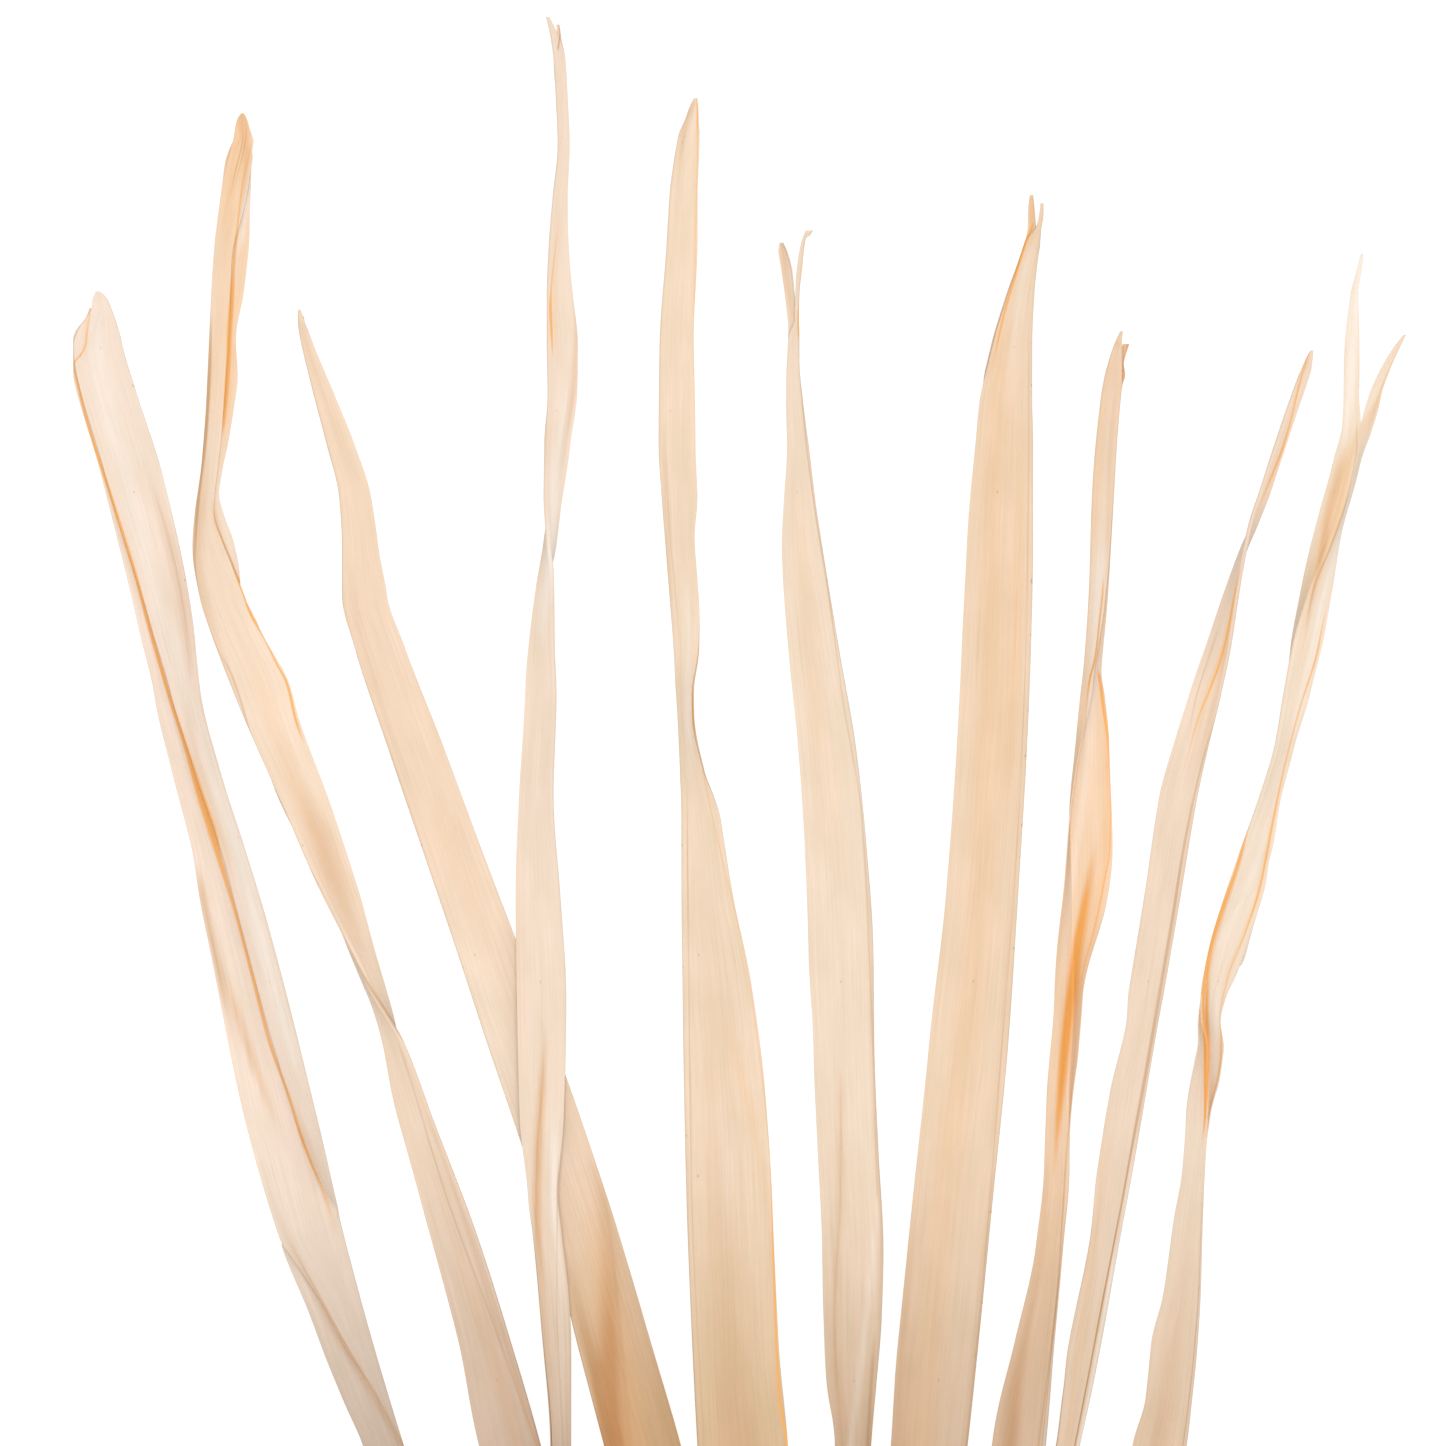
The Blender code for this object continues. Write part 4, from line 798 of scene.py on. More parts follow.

# %% [markdown]
# The fifth has painted shade at its wide foot and a painted glow along its right margin.

# %% Marks of leaflet 5
mark_up(
    5,
    soft=(
        ("tan", (920, -48.8, 1.6, 2.4, 0), (936, -48, 1.6, 2.4, 0.3), (948.8, -46.4, 2, 2.4, 0.6),
         (955.2, -44, 2.4, 2, 0.6), (960.8, -41.2, 2.4, 1.2, 0)),
        ("glow", (832, -42.4, 2, 1.2, 0), (880, -42, 2, 1.2, 0.4), (920, -41.2, 2, 1.2, 0.5),
         (952, -40.8, 2, 0.8, 0)),
        ("tan", (740, -49.6, 1.2, 1.6, 0), (752, -51.2, 1.2, 2, 0.1), (776, -52.8, 1.2, 2, 0.4),
         (808, -54.4, 1.2, 2, 0.4), (832, -55.2, 1.2, 1.6, 0)),
        ("pale", (684, -43.2, 2.4, 3.2, 0), (712, -44.8, 2.4, 2.4, 0.6), (744, -44.8, 2.4, 2.4, 0.6),
         (776, -46.4, 3.2, 3.2, 0)),
        ("glow", (508, -12.8, 3.2, 3.2, 0), (536, -16, 3.6, 3.6, 0.35), (556, -20, 4, 4, 0.5),
         (576, -25.2, 4, 4, 0.4), (596, -30.4, 4, 3.2, 0)),
        ("pale", (496, -28, 4, 4.8, 0), (536, -29.6, 4, 5.6, 0.35), (568, -32, 3.2, 4, 0)),
        ("tan", (421.6, -24.8, 16, 16, 0.55), (500, -30.4, 13.6, 14.4, 0.35), (580, -33.6, 11.2, 12, 0.25),
         (640, -37.6, 9.6, 10.4, 0)),
        ("glow", (421.6, -4.8, 2, 1.2, 0.9), (442, -8, 2, 1.2, 0.9), (464, -9.6, 1.6, 1.2, 0.8),
         (500, -10.4, 1.6, 1.2, 0.7), (528, -10.4, 1.6, 1.2, 0)),
    ),
    thin=(
        ("orange", (792, -42, 0.24, 0), (840, -42.2, 0.24, 0.2), (896, -42, 0.24, 0.3),
         (928, -41.2, 0.24, 0.3), (944, -41, 0.28, 0.6), (952, -41, 0.32, 0.9), (960.8, -41.2, 0.28, 0.6)),
        ("orange", (421.6, -4.8, 0.52, 0.95), (442, -8.2, 0.52, 0.95), (500, -10.8, 0.36, 0.8),
         (528, -11.6, 0.3, 0.5), (600, -19.2, 0.24, 0.4), (688, -38, 0.24, 0.4), (700, -40, 0.32, 0.7),
         (712, -42.4, 0.36, 0.8), (722, -42.8, 0.28, 0.6), (732, -41.6, 0.24, 0.2), (740, -40.4, 0.32, 0.7),
         (750, -39.8, 0.32, 0.8), (760, -40.4, 0.24, 0)),
        ("brown", (421.6, -38.4, 0.28, 0.4), (520, -43.2, 0.26, 0.4), (600, -44.4, 0.26, 0.45),
         (656, -45, 0.26, 0.5), (688, -45.2, 0.24, 0)),
        ("brown", (740, -47.6, 0.28, 0), (760, -49.6, 0.28, 0.3), (792, -52.4, 0.28, 0.4),
         (828, -54.4, 0.26, 0)),
    ),
)

# %% [markdown]
# The sixth has painted shade at the foot and at its split tip, a painted highlight and a painted glow
# on its blade, and a brown line along each edge, partly its own colour and partly painted shade.

# %% Marks of leaflet 6
mark_up(
    6,
    soft=(
        ("tan", (868, -2, 2, 1.6, 0), (880, -4, 2.8, 2, 0.4), (892, -6, 3.2, 3.2, 0.6),
         (904, -6.8, 3.2, 3.2, 0.7)),
        ("glow", (856, 0, 1.6, 1.6, 0), (868, -0.4, 1.6, 1.6, 0.3), (888, 0.4, 1.6, 1.6, 0.5),
         (904, 2.4, 1.6, 1.6, 0.5)),
        ("glow", (640, 14.4, 8, 9.6, 0), (680, 10.4, 8, 9.6, 0.2), (728, 4.8, 6.4, 8.8, 0.3),
         (784, 0, 5.6, 8, 0.25), (812, -1.6, 4, 5.6, 0)),
        ("tan", (421.6, 16.8, 3.2, 4.8, 0.4), (472, 13.2, 2.4, 4, 0.4), (496, 14.4, 2.4, 3.6, 0.4),
         (525.2, 16, 2.4, 3.6, 0.5), (556, 16, 2, 3.2, 0.45), (576, 15.2, 2, 2.8, 0)),
        ("pale", (421.6, 19.6, 1.6, 3.2, 0.4), (445.2, 22.4, 1.6, 3.2, 0.45), (476, 26.4, 1.6, 2.8, 0.5),
         (498.8, 28.8, 1.2, 2.4, 0.55), (514, 30, 1.2, 2.4, 0.4), (528, 30.4, 1.6, 1.6, 0)),
        ("tan", (421.6, 27.6, 2.4, 1.2, 1), (452, 29.2, 2, 1.2, 0.8), (468, 30, 1.6, 1.2, 0)),
        ("tan", (472, 31.6, 1.6, 1.2, 0.4), (500, 32.4, 1.6, 1.2, 0.5), (560, 30, 1.6, 1.2, 0.4),
         (640, 27.6, 1.6, 1.2, 0.35), (672, 25.6, 1.2, 1.2, 0)),
    ),
    thin=(
        ("orange", (864, -0.6, 0.28, 0.6), (872, -0.8, 0.28, 0.9), (880, -0.2, 0.28, 0.9),
         (890, 1.2, 0.24, 0.6), (899.2, 2.8, 0.2, 0)),
        ("brown", (520, 30.8, 0.28, 0.4), (552, 30, 0.28, 0.4), (600, 28.4, 0.32, 0.45),
         (672, 24.8, 0.32, 0.45), (720, 17.2, 0.32, 0.5), (765.2, 11, 0.32, 0.6), (800, 5.4, 0.3, 0.6),
         (826.8, 2, 0.3, 0.6), (853.2, 0, 0.3, 0.6), (868, -0.6, 0.26, 0)),
        ("brown", (421.6, 16.8, 0.48, 0.2), (472, 13.6, 0.48, 0.3), (525.2, 16.2, 0.48, 0.35),
         (556, 16.4, 0.48, 0.3), (576, 16.4, 0.4, 0), (868, -6.8, 0.24, 0)),
    ),
)

# %% [markdown]
# The seventh has a painted glow in broad strips where its two layers lie close.

# %% Marks of leaflet 7
mark_up(
    7,
    soft=(
        ("glow", (900, 91.2, 2, 1.2, 0), (907.2, 92.8, 2, 1.2, 0.6), (914, 92.8, 2, 1.6, 0.9),
         (921.6, 92.4, 2, 2, 0.9)),
        ("pale", (832, 82.4, 4, 4.8, 0), (864, 85.6, 3.2, 4, 0.4), (892, 90, 2.4, 3.2, 0.5),
         (908, 96, 1.6, 1.6, 0)),
        ("glow", (421.6, 47.2, 10.4, 16, 0.6), (520, 56, 7.2, 13.6, 0.4), (620, 68.8, 6.4, 13.6, 0.4),
         (720, 74.4, 6.4, 13.6, 0.5), (808, 76.8, 6.4, 12, 0.45), (852, 80, 7.2, 10.4, 0.45),
         (880, 83.2, 5.6, 8, 0)),
        ("glow", (660, 82.4, 4.8, 3.2, 0), (704, 84.8, 5.6, 4, 0.45), (752, 87.2, 5.6, 4, 0.55),
         (812, 88.4, 4.8, 4, 0.35), (840, 88.8, 4.8, 3.2, 0)),
        ("tan", (421.6, 36.8, 1.6, 12, 0.75), (460, 39.6, 1.6, 10.4, 0.6), (500, 42.8, 1.6, 8, 0.4),
         (552, 47.2, 1.6, 4.8, 0)),
        ("tan", (421.6, 66.4, 1.2, 2.4, 0.5), (480, 72.8, 1.2, 2.4, 0.4), (560, 78.4, 1.2, 2.4, 0.3),
         (640, 84.8, 1.2, 2.4, 0.2), (720, 88.8, 1.2, 2.4, 0)),
    ),
    thin=(
        ("orange", (850, 76.2, 0.24, 0), (859.2, 78.2, 0.32, 0.4), (864, 79.2, 0.4, 0.8),
         (876, 82, 0.48, 0.9), (892, 86.8, 0.48, 1), (900.8, 89.6, 0.52, 1), (908, 92.4, 0.48, 1),
         (911.2, 93.6, 0.32, 0.6)),
        ("brown", (421.6, 66.4, 0.24, 0.45), (480, 72.4, 0.24, 0.45), (548, 78.2, 0.24, 0.45),
         (592, 81.6, 0.24, 0.5), (640, 85.4, 0.24, 0.5), (696, 88.8, 0.24, 0.5), (776, 91.2, 0.24, 0.5),
         (840, 91.6, 0.24, 0.5), (880, 91.4, 0.22, 0)),
    ),
)

# %% [markdown]
# The eighth has the painted deep orange glow of its gutter's hollow between two painted highlights on
# its edges.

# %% Marks of leaflet 8
mark_up(
    8,
    soft=(
        ("glow", (844, 129.2, 2, 1.6, 0), (852.8, 130.4, 2, 2, 1.1), (859.2, 131.2, 2.4, 2.4, 1.2),
         (865.6, 132, 2.4, 2.4, 1.2)),
        ("tan", (845.6, 129.2, 1.6, 1.6, 0), (852.8, 130.4, 2, 1.6, 0.7), (859.2, 131.2, 2, 2, 1),
         (865.6, 132, 2, 2, 1.1)),
        ("tan", (768, 121.6, 1.6, 1.6, 0), (792, 122.4, 2, 1.6, 0.2), (832, 124.8, 2, 1.6, 0.3),
         (864, 127.2, 1.6, 1.2, 0.2)),
        ("pale", (600, 104, 1.6, 1.6, 0), (616, 105.6, 2, 2, 0.3), (640, 108, 2.4, 2.4, 0.5),
         (692, 114.4, 3.6, 3.2, 0.6), (720, 116.8, 3.6, 3.6, 0.8), (744, 118.4, 4.8, 4.8, 1.1),
         (768, 120, 4.8, 4.8, 1.1), (792, 121.6, 4, 4, 0.6), (828, 124, 3.6, 3.6, 0.4),
         (860, 127.2, 3.2, 3.2, 0.2)),
        ("glow", (584, 112, 2.4, 1.6, 0), (608, 115.2, 3.2, 1.6, 0.4), (632, 118.8, 4, 2, 0.6),
         (656, 122.4, 4, 2, 0.7), (680, 123.2, 3.2, 2, 0.7), (704, 122.8, 2.4, 1.6, 0.8),
         (724, 121.2, 1.6, 1.6, 0.8), (732.8, 120, 1.2, 1.6, 0)),
        ("deep", (526, 101.6, 1.2, 1.2, 0), (540, 102.4, 1.6, 1.6, 0.5), (556, 103.6, 2, 2.8, 1),
         (572, 104.8, 2.4, 4, 1.2), (588, 106.4, 2.8, 5.2, 1.2), (602.8, 108.4, 3.2, 5.6, 1.2),
         (620, 110.8, 3.2, 4.8, 1.2), (636, 113.6, 2.8, 4, 1.1), (650, 116, 2.4, 3.2, 0.6),
         (664, 118.4, 2, 2, 0)),
        ("pale", (421.6, 97.6, 1.2, 1.6, 0.4), (520, 107.2, 1.2, 1.6, 0.4), (552, 109.6, 1.2, 1.6, 0.5),
         (580, 112.8, 1.2, 1.6, 0.6), (604, 116.4, 1.2, 1.6, 0.8), (624, 120.4, 1.2, 1.6, 0.7),
         (648, 124.8, 1.2, 1.2, 0)),
        ("tan", (421.6, 84, 6.4, 6.4, 1), (448, 87.2, 5.6, 4.8, 0.8), (480, 93.6, 4, 3.2, 0.4),
         (512, 98.4, 3.2, 3.2, 0.3), (552, 99.2, 2.4, 3.2, 0)),
    ),
    thin=(
        ("orange", (704, 113.6, 0.24, 0), (720, 115, 0.32, 0.6), (728.8, 116.2, 0.44, 1),
         (734, 117.6, 0.4, 1), (741.2, 118.8, 0.36, 1), (752, 120, 0.36, 0.9), (763.2, 121.2, 0.32, 0.8),
         (770, 121.6, 0.24, 0)),
        ("orange", (596, 111.2, 0.24, 0), (612, 113.6, 0.3, 0.5), (628, 117.8, 0.3, 0.7),
         (648, 122, 0.32, 0.7), (660, 124, 0.32, 0.8), (680, 124.4, 0.32, 0.6), (701.2, 123.6, 0.48, 0.8),
         (716, 121.6, 0.56, 0.95), (729.6, 119.8, 0.48, 0.9), (732.8, 119.2, 0.28, 0)),
        ("brown", (421.6, 95.4, 0.36, 0.8), (445.2, 98.6, 0.36, 0.8), (485.2, 103.2, 0.36, 0.8),
         (538.8, 106.8, 0.32, 0.6), (568, 109.6, 0.24, 0)),
        ("brown", (842, 128.6, 0.2, 0), (848.8, 129, 0.26, 0.6), (856, 129.4, 0.28, 0.9),
         (862, 129.6, 0.28, 0.8)),
    ),
)

# %% [markdown]
# The ninth has a strong brown line along its fold, partly painted shade, and a painted glow where it
# turns over.

# %% Marks of leaflet 9
mark_up(
    9,
    soft=(
        ("glow", (784, 179.2, 1.2, 1.2, 0), (800, 184.8, 1.2, 1.2, 0.2), (824, 194, 1.2, 1.2, 0.5),
         (848, 200, 1.2, 1.2, 0.4), (859.2, 203.6, 1.2, 1.2, 0.7)),
        ("glow", (684, 154.4, 2.4, 2.4, 0), (704, 158.4, 2.8, 2.8, 0.3), (720, 162.4, 2.8, 2.8, 0.6),
         (732.8, 167.2, 2.4, 2.4, 0.8), (744, 170.4, 2, 2, 0.8), (760, 173.6, 1.6, 1.6, 0.5),
         (772, 175.2, 1.2, 1.6, 0)),
        ("tan", (680, 158.4, 1.6, 1.6, 0), (696, 161.2, 2, 2, 0.3), (716, 165.2, 2, 2, 0.5),
         (736, 169.6, 2, 2, 0.5), (752, 172, 1.6, 2, 0)),
        ("glow", (421.6, 106.4, 2, 4, 0.4), (448, 109.6, 2, 4.8, 0.4), (488, 114.4, 2, 5.6, 0.4),
         (528, 120, 2, 4.8, 0.3), (560, 122.4, 1.6, 3.2, 0)),
        ("tan", (528, 131.2, 1.2, 2.4, 0), (560, 136.8, 1.2, 2.4, 0.2), (600, 144, 1.2, 2.4, 0.25),
         (660, 154.4, 1.2, 2.4, 0.2), (688, 158.4, 1.2, 2.4, 0)),
        ("pale", (421.6, 111.2, 0.4, 2.8, 0.8), (450, 116.8, 0.4, 2.8, 0.9), (480, 122.4, 0.4, 2.8, 0.9),
         (520, 130.4, 0.4, 2.8, 0.7), (548, 135.2, 0.4, 2.4, 0)),
    ),
    thin=(
        ("orange", (796, 183.2, 0.24, 0), (808, 188, 0.36, 0.8), (820, 192.8, 0.4, 0.9),
         (832, 196.4, 0.32, 0.7), (848, 200.2, 0.32, 0.8), (858.8, 203.6, 0.28, 0.6)),
        ("orange", (692, 153.6, 0.28, 0), (714.4, 160, 0.36, 0.7), (724, 164, 0.4, 0.8),
         (734.8, 168, 0.44, 0.9), (748, 171.4, 0.4, 0.9), (764, 174.4, 0.32, 0.7), (776, 177.2, 0.24, 0)),
        ("brown", (421.6, 110, 0.32, 1.3), (450, 115.5, 0.32, 1.4), (480, 121.2, 0.32, 1.4),
         (520, 129, 0.36, 1.3), (532, 131.2, 0.44, 1.1), (568, 138, 0.56, 0.9), (612, 145.6, 0.6, 0.85),
         (634, 149.4, 0.6, 0.85), (652, 152.2, 0.56, 0.8), (672, 155.8, 0.44, 0.7), (696, 161.2, 0.36, 0.6),
         (720, 168.4, 0.24, 0)),
        ("brown", (704, 155.2, 0.24, 0), (720, 158.4, 0.28, 0.5), (740, 164.8, 0.28, 0.5),
         (752, 168.8, 0.24, 0)),
    ),
)

# %% [markdown]
# The tenth has the painted deep orange glow of a hollow low down, a wide painted glow above its turn,
# and a painted highlight on its tip.

# %% Marks of leaflet 10
mark_up(
    10,
    soft=(
        ("pale", (820, 217.6, 2, 2, 0), (827.2, 218.4, 2.4, 2.4, 0.3), (840, 220, 3.2, 3.2, 0.8),
         (868, 221.6, 3.6, 3.6, 0.9), (900, 224.8, 2.4, 2.4, 0.9)),
        ("tan", (816, 225.6, 2.4, 2.4, 0), (832, 228.8, 2, 2.4, 0.3), (848, 234.4, 1.6, 2, 0.35),
         (862, 240.8, 1.2, 1.6, 0.3)),
        ("glow", (756, 204, 2.4, 2.4, 0), (776, 208.8, 4, 4, 0.5), (794, 212.8, 5.6, 5.6, 1),
         (810, 216.8, 5.6, 5.6, 0.9), (824, 222.4, 4, 4.8, 0.5), (840, 231.2, 2.4, 3.2, 0.6),
         (856, 237.6, 2.4, 2.8, 0.5), (868, 242, 2.4, 2.4, 0)),
        ("tan", (744, 202.4, 1.6, 1.6, 0), (758, 204.4, 1.6, 2, 0.3), (776, 208, 2, 2.4, 0.6),
         (794, 211.2, 2.4, 2.4, 0.5), (810, 215.2, 2.4, 2.4, 0.3), (824, 217.6, 2.4, 2.4, 0)),
        ("glow", (720, 199.2, 4, 0.8, 0), (744, 202.4, 5.6, 0.8, 0.3), (764, 205.2, 8, 0.8, 0.6),
         (781.2, 211.6, 8.8, 0.8, 0.75), (798, 217.6, 8, 0.8, 0.55), (812, 220, 6.4, 0.8, 0.3),
         (828, 223.2, 4, 0.8, 0)),
        ("pale", (608, 166.4, 1.6, 1.6, 0), (628, 172.8, 2.4, 2.4, 0.3), (660, 184.8, 3.2, 3.2, 0.5),
         (696, 195.2, 3.2, 3.2, 0.5), (728, 202.4, 2.8, 3.2, 0.6), (760, 208.8, 2, 3.6, 0.7),
         (784, 215.2, 1.6, 3.2, 0.6), (812, 222.4, 1.2, 2.4, 0)),
        ("glow", (540, 161.6, 1.2, 1.2, 0), (550, 163.2, 1.6, 1.2, 0.4), (562, 165.6, 2, 1.6, 0.9),
         (576, 168, 1.6, 1.6, 0.8), (593.2, 168, 1.2, 1.6, 0.5), (608, 170.8, 1.2, 1.6, 0.5),
         (628, 178.4, 1.6, 1.6, 0.6), (642.8, 183.6, 1.6, 2, 0.7), (672, 188.8, 1.6, 2.4, 0.7),
         (712, 199.2, 1.2, 2, 0.4), (744, 207.2, 1.2, 1.6, 0)),
        ("deep", (544, 161.6, 0.8, 0.8, 0), (552.8, 162.4, 0.8, 0.8, 0.6), (564, 163.2, 1.2, 1.2, 1),
         (578.8, 163.6, 1.2, 1.6, 1), (596, 162.8, 0.8, 2, 1), (606, 162.8, 0.8, 2, 1.1),
         (618.8, 164.4, 1.2, 2, 1), (634.8, 168.8, 1.6, 2, 1), (658, 176.4, 1.2, 1.2, 0.7),
         (668, 178.4, 0.8, 0.8, 0)),
        ("pale", (552, 164.8, 1.6, 1.6, 0), (570, 166.8, 2, 2.4, 0.7), (594, 167.2, 2, 2.8, 0.7),
         (608, 168, 2, 2.4, 0)),
        ("tan", (421.6, 144, 7.2, 8, 0.5), (464, 149.6, 5.6, 6.4, 0.3), (504, 154.4, 4, 5.6, 0.15),
         (540, 156, 3.2, 4, 0)),
    ),
    thin=(
        ("brown", (744, 201.6, 0.24, 0), (764, 205.2, 0.32, 0.6), (781.2, 212, 0.32, 0.7),
         (801.2, 218.8, 0.32, 0.6), (824, 222.8, 0.28, 0.5), (832.8, 222.8, 0.24, 0)),
        ("orange", (550, 162.8, 0.2, 0), (560, 165.2, 0.28, 0.6), (572, 168, 0.32, 0.7),
         (582, 168.8, 0.32, 0.7), (593.2, 168.4, 0.28, 0.4), (608, 171.2, 0.28, 0.5), (628, 178.8, 0.32, 0.7),
         (642.8, 183.6, 0.4, 0.9), (672, 189.4, 0.4, 0.9), (690.8, 193.2, 0.32, 0.7), (717.2, 200, 0.32, 0.7),
         (738.8, 206.8, 0.4, 0.8), (748, 208.6, 0.36, 0.6), (760, 211.2, 0.24, 0)),
        ("orange", (536, 160, 0.2, 0), (547.2, 161.6, 0.28, 0.5), (554.8, 162.4, 0.48, 1),
         (578.8, 162.4, 0.68, 1), (597.2, 161.6, 0.6, 1), (612, 162.4, 0.6, 1), (624, 164.8, 0.6, 1),
         (634.8, 168.8, 0.52, 1), (658.8, 176.8, 0.44, 0.9), (672, 180.4, 0.24, 0)),
    ),
)

# %% [markdown]
# Marks are drawn as far down as the picture shows. One that reaches its lower edge fades out over a
# stretch of the stalk below, and keeps its direction there.

# %% Strength and place of a mark up a leaflet
STALK_FADE = 90.0
PICTURE_EDGE = 421.6
CLEAR_OF_EDGE = 1.0


def strength_at(ordered, column, up):
    """Strength of a mark at each place up a leaflet."""
    strength = smooth_track(ordered, column, up)
    low = ordered[0][0]
    if low > PICTURE_EDGE + CLEAR_OF_EDGE:
        return np.where((up > low) & (up < ordered[-1][0]), strength, 0)
    fade = np.clip(1 - (low - up) / STALK_FADE, 0, 1)
    return np.where(up < ordered[-1][0], strength * fade, 0)


def run_on(ordered, column, up):
    """Place of a mark across a leaflet, run on straight below its lowest key."""
    slope = (ordered[1][column] - ordered[0][column]) / (ordered[1][0] - ordered[0][0])
    return smooth_track(ordered, column, up) + slope * np.minimum(up - ordered[0][0], 0)


print("marks fade out", STALK_FADE, "mm below the picture")

# %% [markdown]
# The marks are worked out for each point of the blade and kept with it, so that the finish can read
# them. A soft mark is a value of its own at each point. A thin line is finer than the mesh, so each
# point keeps how far away the line is, and the finish draws it sharply from that.

# %% Marks and lines on the points
# The tones are painted shade, painted glow, painted light and the painted glow of the hollows.
TONES = ("tan", "glow", "pale", "deep")
LEAST_REACH = 0.1
STRONGEST = 1.2


def soft_tones(marks, points):
    """Strength of each tone at each point."""
    tones = np.zeros((len(points), len(TONES)))
    up = points[:, 1]
    for tone, *keys in marks:
        ordered = sorted(keys)
        left, right = (smooth_track(ordered, i, up) for i in (2, 3))
        offset = points[:, 0] - run_on(ordered, 1, up)
        reach = np.maximum(np.where(offset < 0, left, right), LEAST_REACH)
        fade = np.clip(1 - np.abs(offset) / reach, 0, 1)
        fade = fade * fade * (3 - 2 * fade)
        tones[:, TONES.index(tone)] += strength_at(ordered, 4, up) * fade
    return np.clip(tones, 0, STRONGEST)


def line_offsets(keys, points):
    """Distance from a line at each point, its half width and its strength."""
    ordered = sorted(keys)
    up = points[:, 1]
    slope = (run_on(ordered, 1, up + 1) - run_on(ordered, 1, up - 1)) / 2
    across = (points[:, 0] - run_on(ordered, 1, up)) / np.sqrt(1 + slope**2)
    return np.stack([across, smooth_track(ordered, 2, up), strength_at(ordered, 3, up)], axis=1)


print("tones kept with each point:", TONES)

# %% [markdown]
# Two more values stay with each point. The grain runs along the leaflet, so a pattern drawn in it
# follows every twist. The rim tells how far the midrib and the margin are, in mm.

# %% Grain and rim
VEIN_WIDTH = 28.0
HALF_OFFSET = 40.0


def grain_and_rim(half, side):
    """Grain and rim of one half at each of its points."""
    steps = np.linalg.norm(np.diff(half, axis=1), axis=2)
    from_midrib = np.concatenate([np.zeros((len(half), 1)), np.cumsum(steps, axis=1)], axis=1)
    reach = np.maximum(from_midrib[:, -1:], LEAST_REACH)
    up = half[..., 1]
    grain = np.stack([from_midrib / reach * VEIN_WIDTH + side * HALF_OFFSET, up, 0 * up], axis=2)
    rim = np.stack([from_midrib, reach - from_midrib, 0 * up + side], axis=2)
    return grain, rim


print("a half has the veins of", VEIN_WIDTH, "mm, however wide it is")

# %% [markdown]
# Both halves are one sheet below the fork, with the midrib in its middle, and two sheets above it.
# Their points are numbered together, so that the sheet has no seam.

# %% One sheet from two halves
def quads(grid):
    """Faces between the rows and columns of numbered points."""
    corners = (grid[:-1, :-1], grid[:-1, 1:], grid[1:, 1:], grid[1:, :-1])
    return np.stack([corner.ravel() for corner in corners], axis=1)


def join_halves(left, right, below):
    """Number the points of both halves as one sheet that forks at the tip."""
    columns = left.shape[1]
    blade = np.arange(below * (2 * columns - 1)).reshape(below, 2 * columns - 1)
    left_rows = len(left) - below
    right_rows = len(right) - below
    left_tip = blade.size + np.arange(left_rows * columns).reshape(left_rows, columns)
    right_tip = left_tip.max() + 1 + np.arange(right_rows * columns).reshape(right_rows, columns)
    left_grid = np.concatenate([blade[-1:, :columns], left_tip])
    right_grid = np.concatenate([blade[-1:, columns - 1 :], right_tip])
    return np.concatenate([quads(grid) for grid in (blade, left_grid, right_grid)])


def in_order(left, right, below):
    """Values of both halves in the same order as the numbers of their points."""
    flat = (-1,) + left.shape[2:]
    blade = np.concatenate([left[:below, ::-1], right[:below, 1:]], axis=1)
    parts = (blade, left[below:, ::-1], right[below:])
    return np.concatenate([part.reshape(flat) for part in parts])


print("faces of four points:", len(quads(np.arange(4).reshape(2, 2))))

# %% [markdown]
# The mesh of a leaflet takes the points, the faces and all that is kept with them. Points that stand
# out of the box of the frame by a hair go back onto it.

# %% Mesh of a leaflet
def keep(mesh, name, kind, values):
    """Keep a value of each point in the mesh."""
    attribute = mesh.attributes.new(name, kind, "POINT")
    field = "color" if kind == "FLOAT_COLOR" else "vector"
    attribute.data.foreach_set(field, np.asarray(values, dtype=np.float32).ravel())


def inside_frame(points):
    """The points, with those that stand out of the box of the frame moved back onto it."""
    low, high = (np.array(corner) / MM + BOX_MIDDLE for corner in cad_box)
    return np.clip(points, low + THICKNESS / 2, high - THICKNESS / 2)


def leaf_mesh(number):
    """The sheet of one leaflet with its marks."""
    left, below = half_surface(number, LEFT)
    right, below = half_surface(number, RIGHT)
    if number in LAID_LEAVES:
        print(leaf_name(number), "goes down by", round(lay_down([left, right]), 2), "mm")
    points = inside_frame(in_order(left, right, below))
    left_grain, left_rim = grain_and_rim(left, LEFT)
    right_grain, right_rim = grain_and_rim(right, RIGHT)
    mesh = bpy.data.meshes.new(leaf_name(number))
    faces = join_halves(left, right, below)
    mesh.from_pydata(((points - BOX_MIDDLE) * MM).tolist(), [], faces.tolist())
    keep(mesh, "grain", "FLOAT_VECTOR", in_order(left_grain, right_grain, below))
    keep(mesh, "rim", "FLOAT_VECTOR", in_order(left_rim, right_rim, below))
    keep(mesh, "tones", "FLOAT_COLOR", soft_tones(MARKS[number], points))
    for place, (kind, *keys) in enumerate(LINES[number]):
        keep(mesh, f"line_{place}", "FLOAT_VECTOR", line_offsets(keys, points))
    mesh.shade_smooth()
    return mesh


print("lowest and highest point of the frame in mm:", cad_box[0][2] / MM, cad_box[1][2] / MM)

# %% [markdown]
# Colours are given as they look on the real leaf in the studio. A level surface there gets a little
# more light than what makes white paper white, and least of it in blue, so a colour is divided by
# that before it goes on.

# %% Colours
STUDIO_LIGHT = np.array((1.21, 1.19, 1.14))


